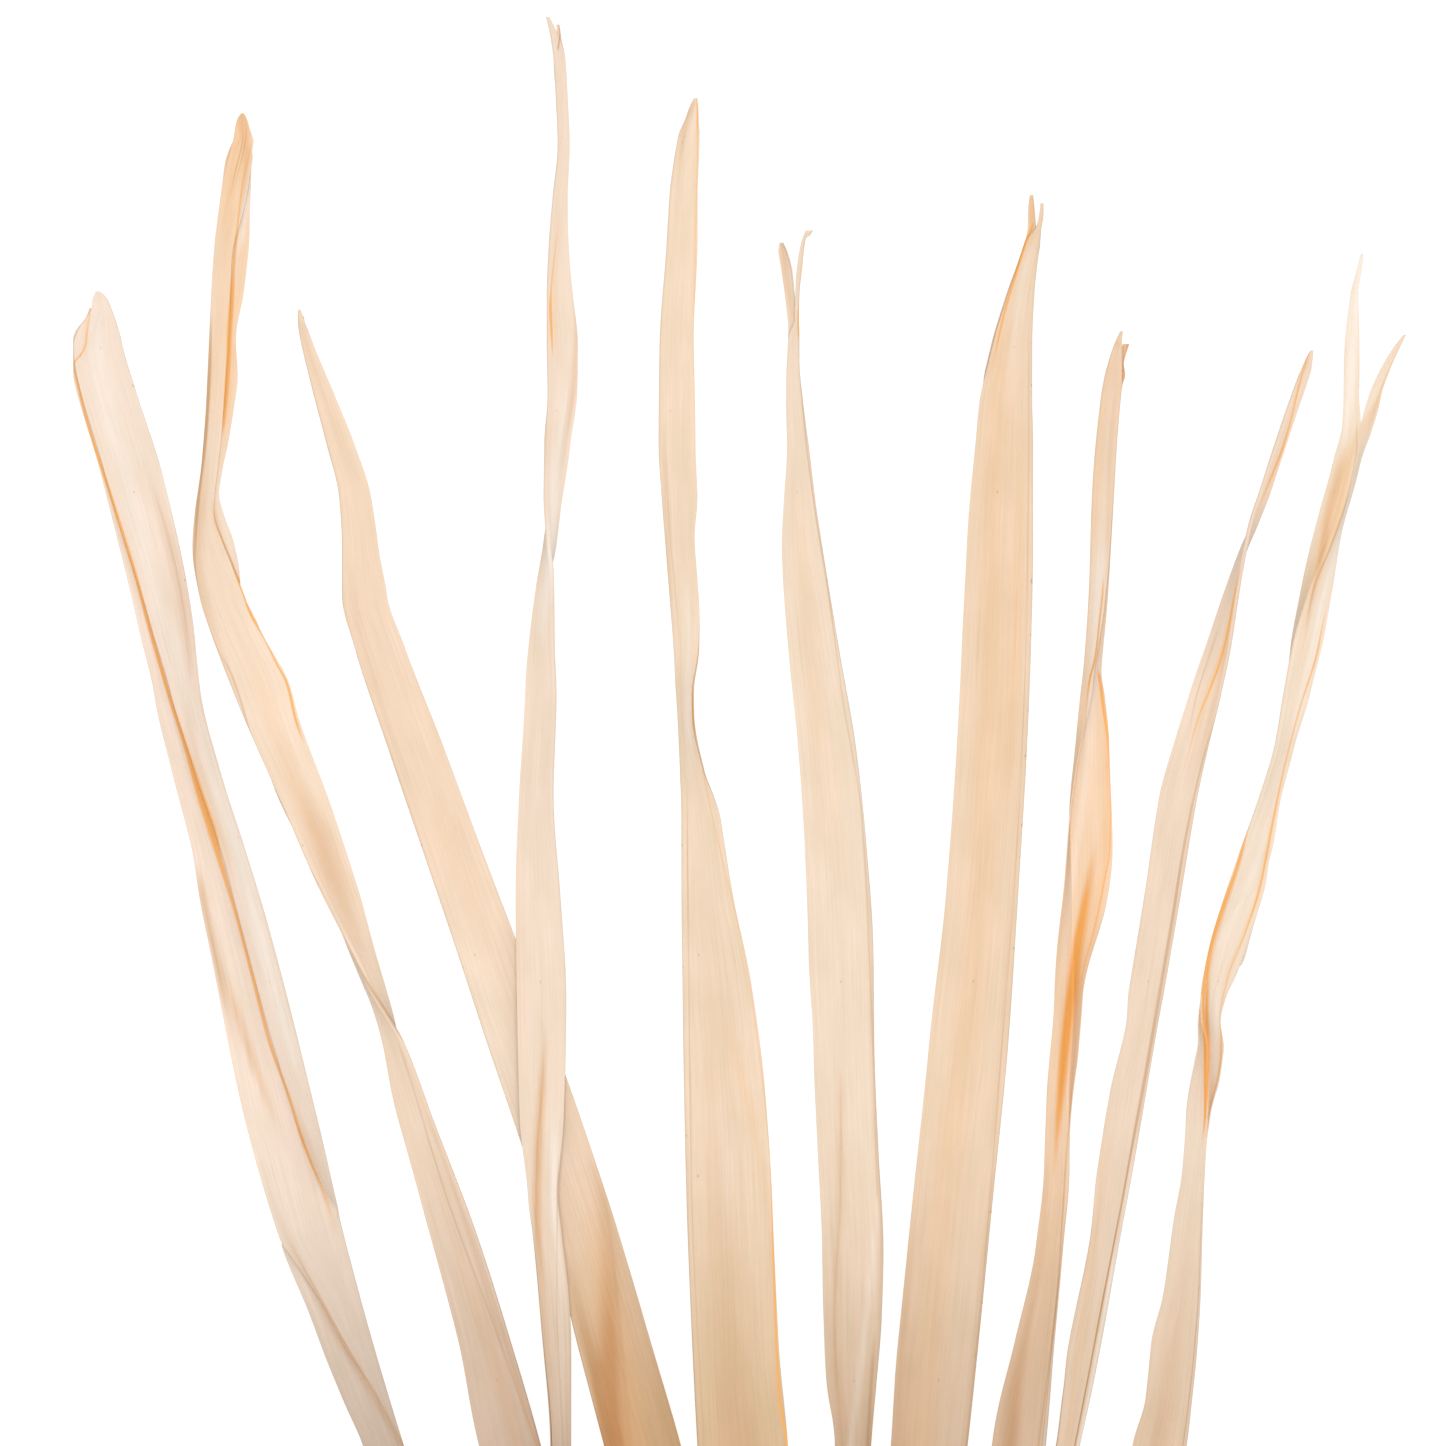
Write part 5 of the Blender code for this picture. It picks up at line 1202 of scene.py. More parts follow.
def to_linear(code):
    """Linear red, green and blue of an sRGB hex code."""
    srgb = np.array([int(code[i : i + 2], 16) for i in (1, 3, 5)]) / 255
    return np.where(srgb <= 0.04045, srgb / 12.92, ((srgb + 0.055) / 1.055) ** 2.4)


def paint(code):
    """Surface colour that looks like the hex code in the studio."""
    return (*(to_linear(code) / STUDIO_LIGHT), 1.0)


def tint(code):
    """A colour that others are multiplied by."""
    return (*to_linear(code), 1.0)


print("leaf straw on the surface:", [round(value, 3) for value in paint("#F0D8BC")])

# %% [markdown]
# Every finish is made of nodes. One function adds a node, sets it, and fills its sockets with values
# or with links from other nodes.

# %% Add a node
def add(tree, kind, sockets, **settings):
    """One new node. A node given for a socket is linked by its first output that is in use."""
    new = tree.nodes.new("ShaderNode" + kind)
    for name, value in settings.items():
        setattr(new, name, value)
    for key, value in sockets.items():
        if isinstance(value, bpy.types.Node):
            value = next(output for output in value.outputs if output.enabled)
        if isinstance(value, bpy.types.NodeSocket):
            tree.links.new(value, new.inputs[key])
        else:
            new.inputs[key].default_value = value
    return new


OVER = {"data_type": "RGBA", "blend_type": "MIX"}
TIMES = {"data_type": "RGBA", "blend_type": "MULTIPLY", "clamp_result": True}
print("two ways to lay one colour on another:", OVER["blend_type"], TIMES["blend_type"])

# %% [markdown]
# Dried palm leaf is straw under a thin natural wax. It is matt, with a soft sheen along the fibres,
# and thin enough that a little light from behind comes through. The fibres are about half a
# millimetre apart, the parallel veins about 2 mm, and both run the whole length, so noise is
# stretched along the grain. Wider patches are where the leaf dried sooner or later.

# %% Fibres, veins and patches
LEAF_PATTERNS = (("fibres", 0.55, 45.0, 5.0), ("veins", 1.8, 110.0, 2.0), ("patches", 14.0, 32.0, 4.0))
NOISE_ROUGHNESS = 0.6
NOISE_LOW, NOISE_HIGH = 0.3, 0.7


def grain_patterns(tree, kinds):
    """Noises by name, from 0 to 1, each with its size across and along in mm."""
    grain = add(tree, "Attribute", {}, attribute_name="grain")
    patterns = {}
    for name, across, along, detail in kinds:
        stretch = {0: grain.outputs["Vector"], 1: (1 / across, 1 / along, 1.0)}
        place = add(tree, "VectorMath", stretch, operation="MULTIPLY")
        sockets = {"Vector": place, "Scale": 1.0, "Detail": detail, "Roughness": NOISE_ROUGHNESS}
        patterns[name] = add(tree, "TexNoise", sockets)
    return patterns


print("size of each pattern across and along:", [kind[:3] for kind in LEAF_PATTERNS])

# %% [markdown]
# A leaflet is a little greyer at its foot than at its tip, partly in its straw and partly as painted
# shade where less light reaches the lower bunch, and its stalk is tan.

# %% Colour up a leaflet
FOOT = 395.0
HEAD = 570.0
STALK_COLOUR = "#D8BC98"


def leaf_base(tree, head_colour, shaded_foot_colour):
    """Straw colour from the stalk to the tip, with painted shade toward the foot."""
    grain = add(tree, "Attribute", {}, attribute_name="grain")
    up = add(tree, "SeparateXYZ", {0: grain.outputs["Vector"]}).outputs[1]
    sockets = {0: up, 1: FOOT, 2: HEAD, 3: 0.0, 4: 1.0}
    share = add(tree, "MapRange", sockets, interpolation_type="SMOOTHSTEP")
    base = add(tree, "Mix", {0: share, 6: paint(shaded_foot_colour), 7: paint(head_colour)}, **OVER)
    share = add(tree, "MapRange", {0: up, 1: FOOT, 2: 0.0, 3: 0.0, 4: 1.0})
    return add(tree, "Mix", {0: share, 6: base, 7: paint(STALK_COLOUR)}, **OVER)


print("the colour changes from", FOOT, "to", HEAD, "mm above the tie")

# %% [markdown]
# The painted light and shade go over that. The painted tan shade and the painted glow deepen the
# colour by multiplying it. The painted light and the painted deep orange glow of the hollows cover it.

# %% Painted light and shade on the straw
MULTIPLIED_TONES = ("tan", "glow")
TONE_COLOURS = {"tan": "#EDD9C2", "glow": "#FFECD2", "pale": "#FBF1E4", "deep": "#EFA650"}
COVER = {"tan": 1.0, "glow": 1.0, "pale": 0.6, "deep": 1.0}


def add_tones(tree, base):
    """The base with its painted light and shade, and the strength of the painted crease shade for the relief.
    """
    stored = add(tree, "Attribute", {}, attribute_name="tones")
    parts = add(tree, "SeparateColor", {0: stored.outputs["Color"]})
    for tone, strength in zip(TONES, (*parts.outputs, stored.outputs["Alpha"])):
        amount = add(tree, "Math", {0: strength, 1: COVER[tone]}, operation="MULTIPLY")
        multiplied = tone in MULTIPLIED_TONES
        mark = tint(TONE_COLOURS[tone]) if multiplied else paint(TONE_COLOURS[tone])
        way = TIMES if multiplied else dict(OVER, clamp_result=True)
        base = add(tree, "Mix", {0: amount, 6: base, 7: mark}, **way)
    return base, parts.outputs[0]


print("stains:", MULTIPLIED_TONES)

# %% [markdown]
# The fibres, veins and patches change how dark the straw is by a few parts in a hundred, and blue
# changes most, so that the darker fibres are also yellower.

# %% Shade of the fibres
LEAF_SHADES = {"fibres": (0.93, 1.05), "veins": (0.98, 1.02), "patches": (0.96, 1.035)}
BLUE_POWER = 1.6


def grain_shade(tree, patterns, shades):
    """How dark the grain is, as one number round 1."""
    shade = 1.0
    for name, (dark, light) in shades.items():
        part = add(tree, "MapRange", {0: patterns[name], 1: NOISE_LOW, 2: NOISE_HIGH, 3: dark, 4: light})
        shade = add(tree, "Math", {0: shade, 1: part}, operation="MULTIPLY")
    return shade


def add_grain(tree, base, patterns):
    """The base, darker and yellower in its grain."""
    shade = grain_shade(tree, patterns, LEAF_SHADES)
    blue = add(tree, "Math", {0: shade, 1: BLUE_POWER}, operation="POWER")
    grey = add(tree, "CombineColor", {0: shade, 1: shade, 2: blue})
    return add(tree, "Mix", {0: 1.0, 6: base, 7: grey}, **TIMES)


print("darkest and lightest fibre:", LEAF_SHADES["fibres"])

# %% [markdown]
# A thin line is drawn where its stored distance is less than its half width, with a soft edge. The
# orange lines are a painted glow along the slits. The brown lines are the dry ridges and also painted
# shade in the creases; a ridge is a row of fine teeth on the real leaf, so a brown line is broken a
# little by the fibres.

# %% Draw the thin lines
# Orange is a painted glow; brown is the ridges' own colour and painted shade in the creases.
LINE_COLOURS = {"orange": "#F5AC4E", "brown": "#C4935F"}
LINE_COVER = {"orange": 0.9, "brown": 0.75}
LINE_EDGE = (0.55, 1.5)
LEAST_HALF_WIDTH = 0.05
BROKEN = {1: 0.35, 2: 0.6, 3: 1.1, 4: 0.7}


def line_mask(tree, place):
    """Strength of one thin line, from its stored distance, half width and strength."""
    stored = add(tree, "Attribute", {}, attribute_name=f"line_{place}")
    parts = add(tree, "SeparateXYZ", {0: stored.outputs["Vector"]})
    away = add(tree, "Math", {0: parts.outputs[0]}, operation="ABSOLUTE")
    width = add(tree, "Math", {0: parts.outputs[1], 1: LEAST_HALF_WIDTH}, operation="MAXIMUM")
    widths = add(tree, "Math", {0: away, 1: width}, operation="DIVIDE")
    sockets = {0: widths, 1: LINE_EDGE[0], 2: LINE_EDGE[1], 3: 1.0, 4: 0.0}
    mask = add(tree, "MapRange", sockets, interpolation_type="SMOOTHSTEP")
    return add(tree, "Math", {0: mask, 1: parts.outputs[2]}, operation="MULTIPLY")


def add_lines(tree, base, patterns, kinds):
    """The base with its thin lines, and all of them together for the relief."""
    lines = 0.0
    broken = add(tree, "MapRange", {0: patterns["fibres"], **BROKEN})
    for place, kind in enumerate(kinds):
        mask = line_mask(tree, place)
        amount = add(tree, "Math", {0: mask, 1: LINE_COVER[kind]}, operation="MULTIPLY")
        if kind == "brown":
            amount = add(tree, "Math", {0: amount, 1: broken}, operation="MULTIPLY")
        base = add(tree, "Mix", {0: amount, 6: base, 7: paint(LINE_COLOURS[kind])}, **OVER)
        lines = add(tree, "Math", {0: lines, 1: mask}, operation="ADD")
    return base, lines


print("kinds of thin lines:", sorted(LINE_COLOURS))

# %% [markdown]
# Old leaves carry specks about half a millimetre across, most of them in a row beside the midrib.
# Cells a few millimetres apart each hold one speck or none, and a number drawn for each cell
# decides: it has to be above a limit, which rises from the row beside the midrib to the rest.

# %% Specks
SPECK_CELL = (1.7, 3.4, 1.0)
SPECK_COLOUR = "#B98858"
SPECK_EDGE = (0.24, 0.12)
SPECK_COVER = 0.6
MIDRIB_ROW = (1.2, 2.6)
FEW_SPECKS = 0.991


def add_specks(tree, base, beside_midrib):
    """The base with specks in the cells whose drawn number is above a limit."""
    grain = add(tree, "Attribute", {}, attribute_name="grain")
    rim = add(tree, "Attribute", {}, attribute_name="rim")
    cell = {0: grain.outputs["Vector"], 1: tuple(1 / size for size in SPECK_CELL)}
    place = add(tree, "VectorMath", cell, operation="MULTIPLY")
    cells = add(tree, "TexVoronoi", {"Vector": place, "Scale": 1.0})
    drawn = add(tree, "SeparateColor", {0: cells.outputs["Color"]})
    distance = add(tree, "SeparateXYZ", {0: rim.outputs["Vector"]}).outputs[0]
    sockets = {0: distance, 1: MIDRIB_ROW[0], 2: MIDRIB_ROW[1], 3: beside_midrib, 4: FEW_SPECKS}
    limit = add(tree, "MapRange", sockets)
    there = add(tree, "Math", {0: drawn.outputs[0], 1: limit}, operation="GREATER_THAN")
    sockets = {0: cells.outputs["Distance"], 1: SPECK_EDGE[0], 2: SPECK_EDGE[1], 3: 0.0, 4: SPECK_COVER}
    dot = add(tree, "MapRange", sockets)
    amount = add(tree, "Math", {0: dot, 1: there}, operation="MULTIPLY")
    return add(tree, "Mix", {0: amount, 6: base, 7: paint(SPECK_COLOUR)}, **OVER)


print("a speck is about", round(2 * SPECK_EDGE[1] * SPECK_CELL[0], 1), "mm wide at full strength")

# %% [markdown]
# The relief is a tenth of a millimetre of fibres and veins, a shallow groove beside the midrib, and
# dents where the lines and the painted crease shade are. The heights and depths are in mm.

# %% Relief
GROOVE_PLACE = 2.4
GROOVE_EDGE = (0.2, 0.9)
GROOVE_DEPTH = 0.08
LINE_DEPTH = 0.05
CREASE_DEPTH = 0.6
FIBRE_HEIGHT = 0.1
RELIEF_STRENGTH = 0.6


def leaf_relief(tree, patterns, lines, crease_shade):
    """A bump from heights in mm."""
    rim = add(tree, "Attribute", {}, attribute_name="rim")
    distance = add(tree, "SeparateXYZ", {0: rim.outputs["Vector"]}).outputs[0]
    offset = add(tree, "Math", {0: distance, 1: GROOVE_PLACE}, operation="SUBTRACT")
    away = add(tree, "Math", {0: offset}, operation="ABSOLUTE")
    beside = add(tree, "MapRange", {0: away, 1: GROOVE_EDGE[0], 2: GROOVE_EDGE[1], 3: 1.0, 4: 0.0})
    parts = ((patterns["fibres"], FIBRE_HEIGHT), (patterns["veins"], FIBRE_HEIGHT))
    parts += ((beside, -GROOVE_DEPTH), (lines, -LINE_DEPTH), (crease_shade, -CREASE_DEPTH))
    height = 0.0
    for part, amount in parts:
        height = add(tree, "Math", {0: part, 1: amount, 2: height}, operation="MULTIPLY_ADD")
    return add(tree, "Bump", {"Strength": RELIEF_STRENGTH, "Distance": MM, "Height": height})


print("the groove lies", GROOVE_PLACE, "mm from the midrib")

# %% [markdown]
# Leaf and raffia are both thin sheets with a matt skin. The skin is a plastic-like shader with a low
# specular level. A smaller part of the light goes through the sheet.

# %% A thin sheet
THROUGH = 0.15


def new_finish(name):
    """An empty material and its node tree."""
    material = bpy.data.materials.new(name)
    material.use_nodes = True
    material.node_tree.nodes.clear()
    return material, material.node_tree


def add_sheet(tree, skin, inner_colour):
    """The skin with a part of the light going through."""
    surface = add(tree, "BsdfPrincipled", skin)
    behind = add(tree, "BsdfTranslucent", {"Color": inner_colour, "Normal": skin["Normal"]})
    both = add(tree, "MixShader", {0: THROUGH, 1: surface, 2: behind})
    add(tree, "OutputMaterial", {0: both})


print("share of the light that goes through:", THROUGH)

# %% [markdown]
# The wax is worn off the crests of the fibres, so they are rougher than the valleys between them.
# Light that goes through is coloured by the straw on its way in and out, so each face gives it
# about half of the colour.

# %% The finish of a leaflet
LEAF_ROUGHNESS = (0.52, 0.66)
LEAF_SPECULAR = 0.3
HALF_COLOUR = 0.6


def leaf_finish(name, head_colour, shaded_foot_colour, beside_midrib, kinds):
    """Dried palm leaf with the marks that its mesh keeps."""
    material, tree = new_finish(name)
    patterns = grain_patterns(tree, LEAF_PATTERNS)
    base, crease_shade = add_tones(tree, leaf_base(tree, head_colour, shaded_foot_colour))
    base = add_grain(tree, base, patterns)
    base = add_specks(tree, base, beside_midrib)
    base, lines = add_lines(tree, base, patterns, kinds)
    bump = leaf_relief(tree, patterns, lines, crease_shade)
    low, high = LEAF_ROUGHNESS
    rough = add(tree, "MapRange", {0: patterns["fibres"], 1: NOISE_LOW, 2: NOISE_HIGH, 3: low, 4: high})
    inner = add(tree, "Gamma", {"Color": base, "Gamma": HALF_COLOUR})
    skin = {"Base Color": base, "Roughness": rough, "Specular IOR Level": LEAF_SPECULAR, "Normal": bump}
    add_sheet(tree, skin, inner)
    return material


print("roughness of the wax:", LEAF_ROUGHNESS)

# %% [markdown]
# Each leaflet dried on its own, so each has its own straw colour at its head and at its foot, and the
# foot colour also holds painted shade. The seventh has many specks beside its midrib: the limit above
# which a cell holds one is lower there.

# %% Straw of the leaflets
LEAF_COLOURS = {
    1: ("#F2DCC6", "#C9B29C"), 2: ("#F3D9BD", "#CCAF96"), 3: ("#F2D6B8", "#CDA577"),
    4: ("#F0D8BF", "#DEC2A6"), 5: ("#F1D7B9", "#D7B58C"), 6: ("#EFD7BC", "#DBBB9A"),
    7: ("#EDD0B0", "#D2B597"), 8: ("#F3D1AD", "#CFAF8F"), 9: ("#F0D6BC", "#E7CBAD"),
    10: ("#F1DBC2", "#DBBD9E"),
}
SOME_SPECKS = 0.95
MANY_SPECKS = {7: 0.72}
print("colours:", len(LEAF_COLOURS), "leaflets with many specks:", sorted(MANY_SPECKS))

# %% [markdown]
# The sheet gets its thickness from a modifier. Its margins and torn tips are cut sharply, so the
# rounded shading stops there.

# %% Make the leaflets
CRISP_DEGREES = 60


def make_leaf(number):
    """One leaflet in place of its node in the frame."""
    name = leaf_name(number)
    mesh = leaf_mesh(number)
    specks = MANY_SPECKS.get(number, SOME_SPECKS)
    kinds = [kind for kind, *keys in LINES[number]]
    mesh.materials.append(leaf_finish(f"dried_{name}", *LEAF_COLOURS[number], specks, kinds))
    leaf = bpy.data.objects.new(f"{name}_blade", mesh)
    bpy.context.scene.collection.objects.link(leaf)
    body = leaf.modifiers.new("Body", "SOLIDIFY")
    body.thickness = THICKNESS * MM
    body.offset = 0.0
    crisp = leaf.modifiers.new("Crisp margin", "EDGE_SPLIT")
    crisp.split_angle = np.radians(CRISP_DEGREES)
    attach(leaf, "root")
    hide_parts(name)


for number in LEAVES:
    make_leaf(number)

# %% [markdown]
# Raffia is a strip of palm skin, 3 to 4 mm wide and as thin as paper. It curls a little across, and
# fine ribs run along it. Five turns hold the stalks, each lapping over the next like shingles.

# %% A strip of raffia
RAFFIA_THICKNESS = 0.28
RAFFIA_COLUMNS = 7
UPWARD = np.array([0, 0, 1])


def strip_rows(centres, across, outward, widths, curl):
    """Rows of points of a strip that is bowed outward by curl in its middle."""
    side = np.linspace(-1, 1, RAFFIA_COLUMNS)[None, :, None]
    reach = across[:, None, :] * (np.asarray(widths) / 2)[:, None, None] * side
    bow = outward[:, None, :] * curl * (1 - side**2)
    return centres[:, None, :] + reach + bow


def unit(vectors):
    """The same directions with a length of 1."""
    return vectors / np.linalg.norm(vectors, axis=-1, keepdims=True)


print("a strip is", RAFFIA_COLUMNS, "points across and", RAFFIA_THICKNESS, "mm thick")

# %% [markdown]
# The wound turns follow the flat oval of the bundle. The far edge of each turn lies higher than the
# near one, which makes room for the next turn under it. One more turn crosses them aslant.

# %% Wound turns
OVAL_HALF_WIDTH = 9.3
OVAL_HALF_HEIGHT = 3.3
OVAL_REACH = 26.0
OVAL_MIDDLE = 7.43
ROWS_A_TURN = 72
WAVES_A_TURN = 3
WAVE_HEIGHT = 0.06


def round_the_oval(angle, out):
    """A point beside the bundle, out from it by so much."""
    x = np.clip(OVAL_REACH * np.cos(angle), -OVAL_HALF_WIDTH, OVAL_HALF_WIDTH) + out * np.cos(angle)
    z = np.clip(OVAL_REACH * np.sin(angle), -OVAL_HALF_HEIGHT, OVAL_HALF_HEIGHT) + out * np.sin(angle)
    return x, z + OVAL_MIDDLE


def wound_strip(first, last, turns, width, low, high, start):
    """Rows of a strip wound round the bundle from one place along it to another."""
    angle = np.linspace(0, 2 * np.pi * turns, round(ROWS_A_TURN * turns) + 1)
    up = np.linspace(first, last, len(angle))
    rows = []
    for side in np.linspace(-1, 1, RAFFIA_COLUMNS):
        out = low + (high - low) * (side + 1) / 2 + WAVE_HEIGHT * np.sin(WAVES_A_TURN * angle + up)
        x, z = round_the_oval(angle + start, out)
        rows.append(np.stack([x, up + side * width / 2, z], axis=-1))
    return np.stack(rows, axis=1)


print("the bundle is", 2 * OVAL_HALF_WIDTH, "mm wide in the tie")

# %% [markdown]
# The knot is two short arches of raffia pulled over each other.

# %% Arches of the knot
KNOT = (3.0, 0.0, 14.7)
ARCH_ENDS = (0.04 * np.pi, 0.96 * np.pi)
ARCH_ROWS = 25
ARCH_CURL = 0.25
ARCH_FLATNESS = 0.8
PINCH = 0.18


def arch(turn, half_span, rise, width):
    """A strip that arches over the knot, turned to lie in one direction."""
    angle = np.linspace(*ARCH_ENDS, ARCH_ROWS)
    along = np.array([np.cos(turn), np.sin(turn), 0])
    across = np.array([-np.sin(turn), np.cos(turn), 0])
    centres = np.array(KNOT) + np.cos(angle)[:, None] * half_span * along
    centres = centres + (np.sin(angle) ** ARCH_FLATNESS)[:, None] * rise * UPWARD
    outward = unit(np.cos(angle)[:, None] * along / half_span + np.sin(angle)[:, None] * UPWARD / rise)
    widths = width * (1 - PINCH + PINCH * np.abs(np.cos(angle)))
    return strip_rows(centres, np.broadcast_to(across, centres.shape), outward, widths, ARCH_CURL)


print("the knot sits", KNOT[2], "mm up")

# %% [markdown]
# The two ends come out from under the knot, fan out a little and lie on the stalks. The keys of an
# end are: place along it, across, up the bunch, height, width and tilt. Each end has split into
# three along its ribs. A split has its place in the width, its share of it, its splay and its length.

# %% Loose ends
END_TRACKS = (
    (
        (0, 4, -0.5, 15.6, 2.4, 0), (12, 9, -10, 16.9, 3, 8), (26, 15, -22, 16.1, 3.2, 20),
        (40, 19, -35, 12.5, 2.4, 30),
    ),
    (
        (0, 2, -0.5, 15.6, 2.4, 0), (10, -1.5, -9, 16.8, 3, -6), (22, -7.5, -19, 16.3, 3.2, -12),
        (33, -11, -29, 15.4, 2.2, -16),
    ),
)
SPLITS = ((-0.34, 0.30, -1.2, 0.96), (0.02, 0.36, 0.4, 1.0), (0.36, 0.26, 1.5, 0.9))
END_ROWS = 34
END_CURL = 0.06
OPENS_AT = 0.45
TAPERS_AT = 0.8
TAPER = 0.6
SPLAY_LIFT = 0.25


def loose_end(track, place, share, splay, length):
    """One of the splits of a loose end."""
    long = track[-1][0]
    along = np.linspace(0, long * length, END_ROWS)
    x, y, z, width, tilt = (smooth_track(track, i, along) for i in range(1, 6))
    centres = np.stack([x, y, z], axis=1)
    forward = unit(np.gradient(centres, axis=0))
    level = unit(np.stack([-forward[:, 1], forward[:, 0], 0 * along], axis=1))
    radians = np.radians(tilt)[:, None]
    across = level * np.cos(radians) + UPWARD * np.sin(radians)
    outward = unit(np.cross(forward, across))
    outward = outward * np.sign(outward[:, 2:])
    open_by = np.clip((along / long - OPENS_AT) / (1 - OPENS_AT), 0, 1) ** 2
    shift = place * width + splay * open_by
    centres = centres + across * shift[:, None] + outward * (SPLAY_LIFT * splay * open_by)[:, None]
    taper = 1 - TAPER * np.clip((along / long - TAPERS_AT) / (1 - TAPERS_AT), 0, 1)
    return strip_rows(centres, across, outward, share * width * taper, END_CURL)


print("loose ends:", len(END_TRACKS), "with", len(SPLITS), "splits each")

# %% [markdown]
# Raffia is the skin of young palm leaves, stripped off and dried in the sun. It is pale straw with
# fine ribs and soft folds along it, and shinier than the leaves are.

# %% The finish of raffia
RAFFIA_PATTERNS = (("ribs", 0.31, 25.0, 3.0), ("folds", 1.1, 33.0, 1.0), ("patches", 20.0, 8.0, 2.0))
RAFFIA_SHADES = {"ribs": (0.84, 1.06), "folds": (0.9, 1.05)}
RAFFIA_DARK = "#D8B27C"
RAFFIA_LIGHT = "#F0D9B0"
RAFFIA_ROUGHNESS = (0.4, 0.6)
RAFFIA_SPECULAR = 0.4
RIB_HEIGHT = 0.12
FOLD_HEIGHT = 0.4
RAFFIA_RELIEF = 0.8


def raffia_colour(tree, patterns):
    """Straw that goes from dark to light in patches, and darker between the ribs."""
    share = add(tree, "MapRange", {0: patterns["patches"], 1: NOISE_LOW, 2: NOISE_HIGH, 3: 0.0, 4: 1.0})
    base = add(tree, "Mix", {0: share, 6: paint(RAFFIA_DARK), 7: paint(RAFFIA_LIGHT)}, **OVER)
    shade = grain_shade(tree, patterns, RAFFIA_SHADES)
    grey = add(tree, "CombineColor", {0: shade, 1: shade, 2: shade})
    return add(tree, "Mix", {0: 1.0, 6: base, 7: grey}, **TIMES)


def raffia_finish():
    """Dried raffia, ribbed along the strip."""
    material, tree = new_finish("raffia")
    patterns = grain_patterns(tree, RAFFIA_PATTERNS)
    base = raffia_colour(tree, patterns)
    height = add(tree, "Math", {0: patterns["ribs"], 1: RIB_HEIGHT}, operation="MULTIPLY")
    height = add(tree, "Math", {0: patterns["folds"], 1: FOLD_HEIGHT, 2: height}, operation="MULTIPLY_ADD")
    bump = add(tree, "Bump", {"Strength": RAFFIA_RELIEF, "Distance": MM, "Height": height})
    low, high = RAFFIA_ROUGHNESS
    rough = add(tree, "MapRange", {0: patterns["ribs"], 1: NOISE_LOW, 2: NOISE_HIGH, 3: low, 4: high})
    skin = {"Base Color": base, "Roughness": rough, "Specular IOR Level": RAFFIA_SPECULAR, "Normal": bump}
    add_sheet(tree, skin, base)
    return material


print("size of the ribs across and along:", RAFFIA_PATTERNS[0][1:3], "mm")

# %% [markdown]
# All strips become one piece. The grain along each strip is kept with its points as on the leaves.

# %% The strips as one mesh
STRIP_OFFSET = 9.0


def strip_grain(rows, offset):
    """Across and along each strip in mm, with an offset that sets the strips apart."""
    across = np.linalg.norm(np.diff(rows, axis=1), axis=2).cumsum(axis=1)
    across = np.concatenate([np.zeros((len(rows), 1)), across], axis=1)
    steps = np.linalg.norm(np.diff(rows[:, RAFFIA_COLUMNS // 2], axis=0), axis=1)
    along = np.concatenate([[0], np.cumsum(steps)])[:, None] + 0 * across
    return np.stack([across + offset, along, 0 * along], axis=2)


def raffia_mesh(strips):
    """All strips as one mesh, each with its own grain."""
    points, grain, faces = [], [], []
    count = 0
    for number, rows in enumerate(strips):
        grid = count + np.arange(rows.shape[0] * rows.shape[1]).reshape(rows.shape[:2])
        faces.append(quads(grid))
        points.append(rows.reshape(-1, 3))
        grain.append(strip_grain(rows, STRIP_OFFSET * number).reshape(-1, 3))
        count += grid.size
    mesh = bpy.data.meshes.new("raffia_strips")
    places_in_frame = (np.concatenate(points) - BOX_MIDDLE) * MM
    mesh.from_pydata(places_in_frame.tolist(), [], np.concatenate(faces).tolist())
    keep(mesh, "grain", "FLOAT_VECTOR", np.concatenate(grain))
    mesh.materials.append(raffia_finish())
    mesh.shade_smooth()
    return mesh


print("strips are set", STRIP_OFFSET, "mm apart in the grain")

# %% [markdown]
# A wound strip goes from one place along the bundle to another, in so many turns, and has a width,
# the height of its near and far edge, and an angle to start at. An arch has its direction, half of
# its span, its rise and its width.

# %% The tie
WOUND = ((-5.9, 5.9, 5.2, 3.5, 3.3, 3.75, -0.5), (-5.0, 5.2, 1.0, 3.0, 4.0, 4.0, 1.2))
ARCHES = ((90, 2.7, 2.2, 3.2), (8, 3.6, 2.85, 3.0))


def make_tie():
    """The tie in place of its node in the frame."""
    strips = [wound_strip(*sizes) for sizes in WOUND]
    strips += [arch(np.radians(degrees), *sizes) for degrees, *sizes in ARCHES]
    strips += [loose_end(track, *split) for track in END_TRACKS for split in SPLITS]
    mesh = raffia_mesh(strips)
    tie = bpy.data.objects.new("raffia_strips", mesh)
    bpy.context.scene.collection.objects.link(tie)
    body = tie.modifiers.new("Body", "SOLIDIFY")
    body.thickness = RAFFIA_THICKNESS * MM
    body.offset = 0.0
    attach(tie, "root")
    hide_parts("raffia_tie")
    return len(mesh.polygons)


print("raffia quads:", make_tie(), "node box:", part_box("raffia_tie"))

# %% [markdown]
# The bouquet lies on plain white. The surface is a little lit by itself, as white board in a light
# tent is, so that it comes out even and only the faintest shade is left under the leaves.

# %% Surface
WHITE = (1.0, 1.0, 1.0, 1.0)
BOARD_GREY = (0.12, 0.12, 0.12, 1.0)
BOARD_GLOW = 0.9
BOARD_ROUGHNESS = 0.9
BOARD_HALF = 4.0
BOARD_DROP = 0.0002


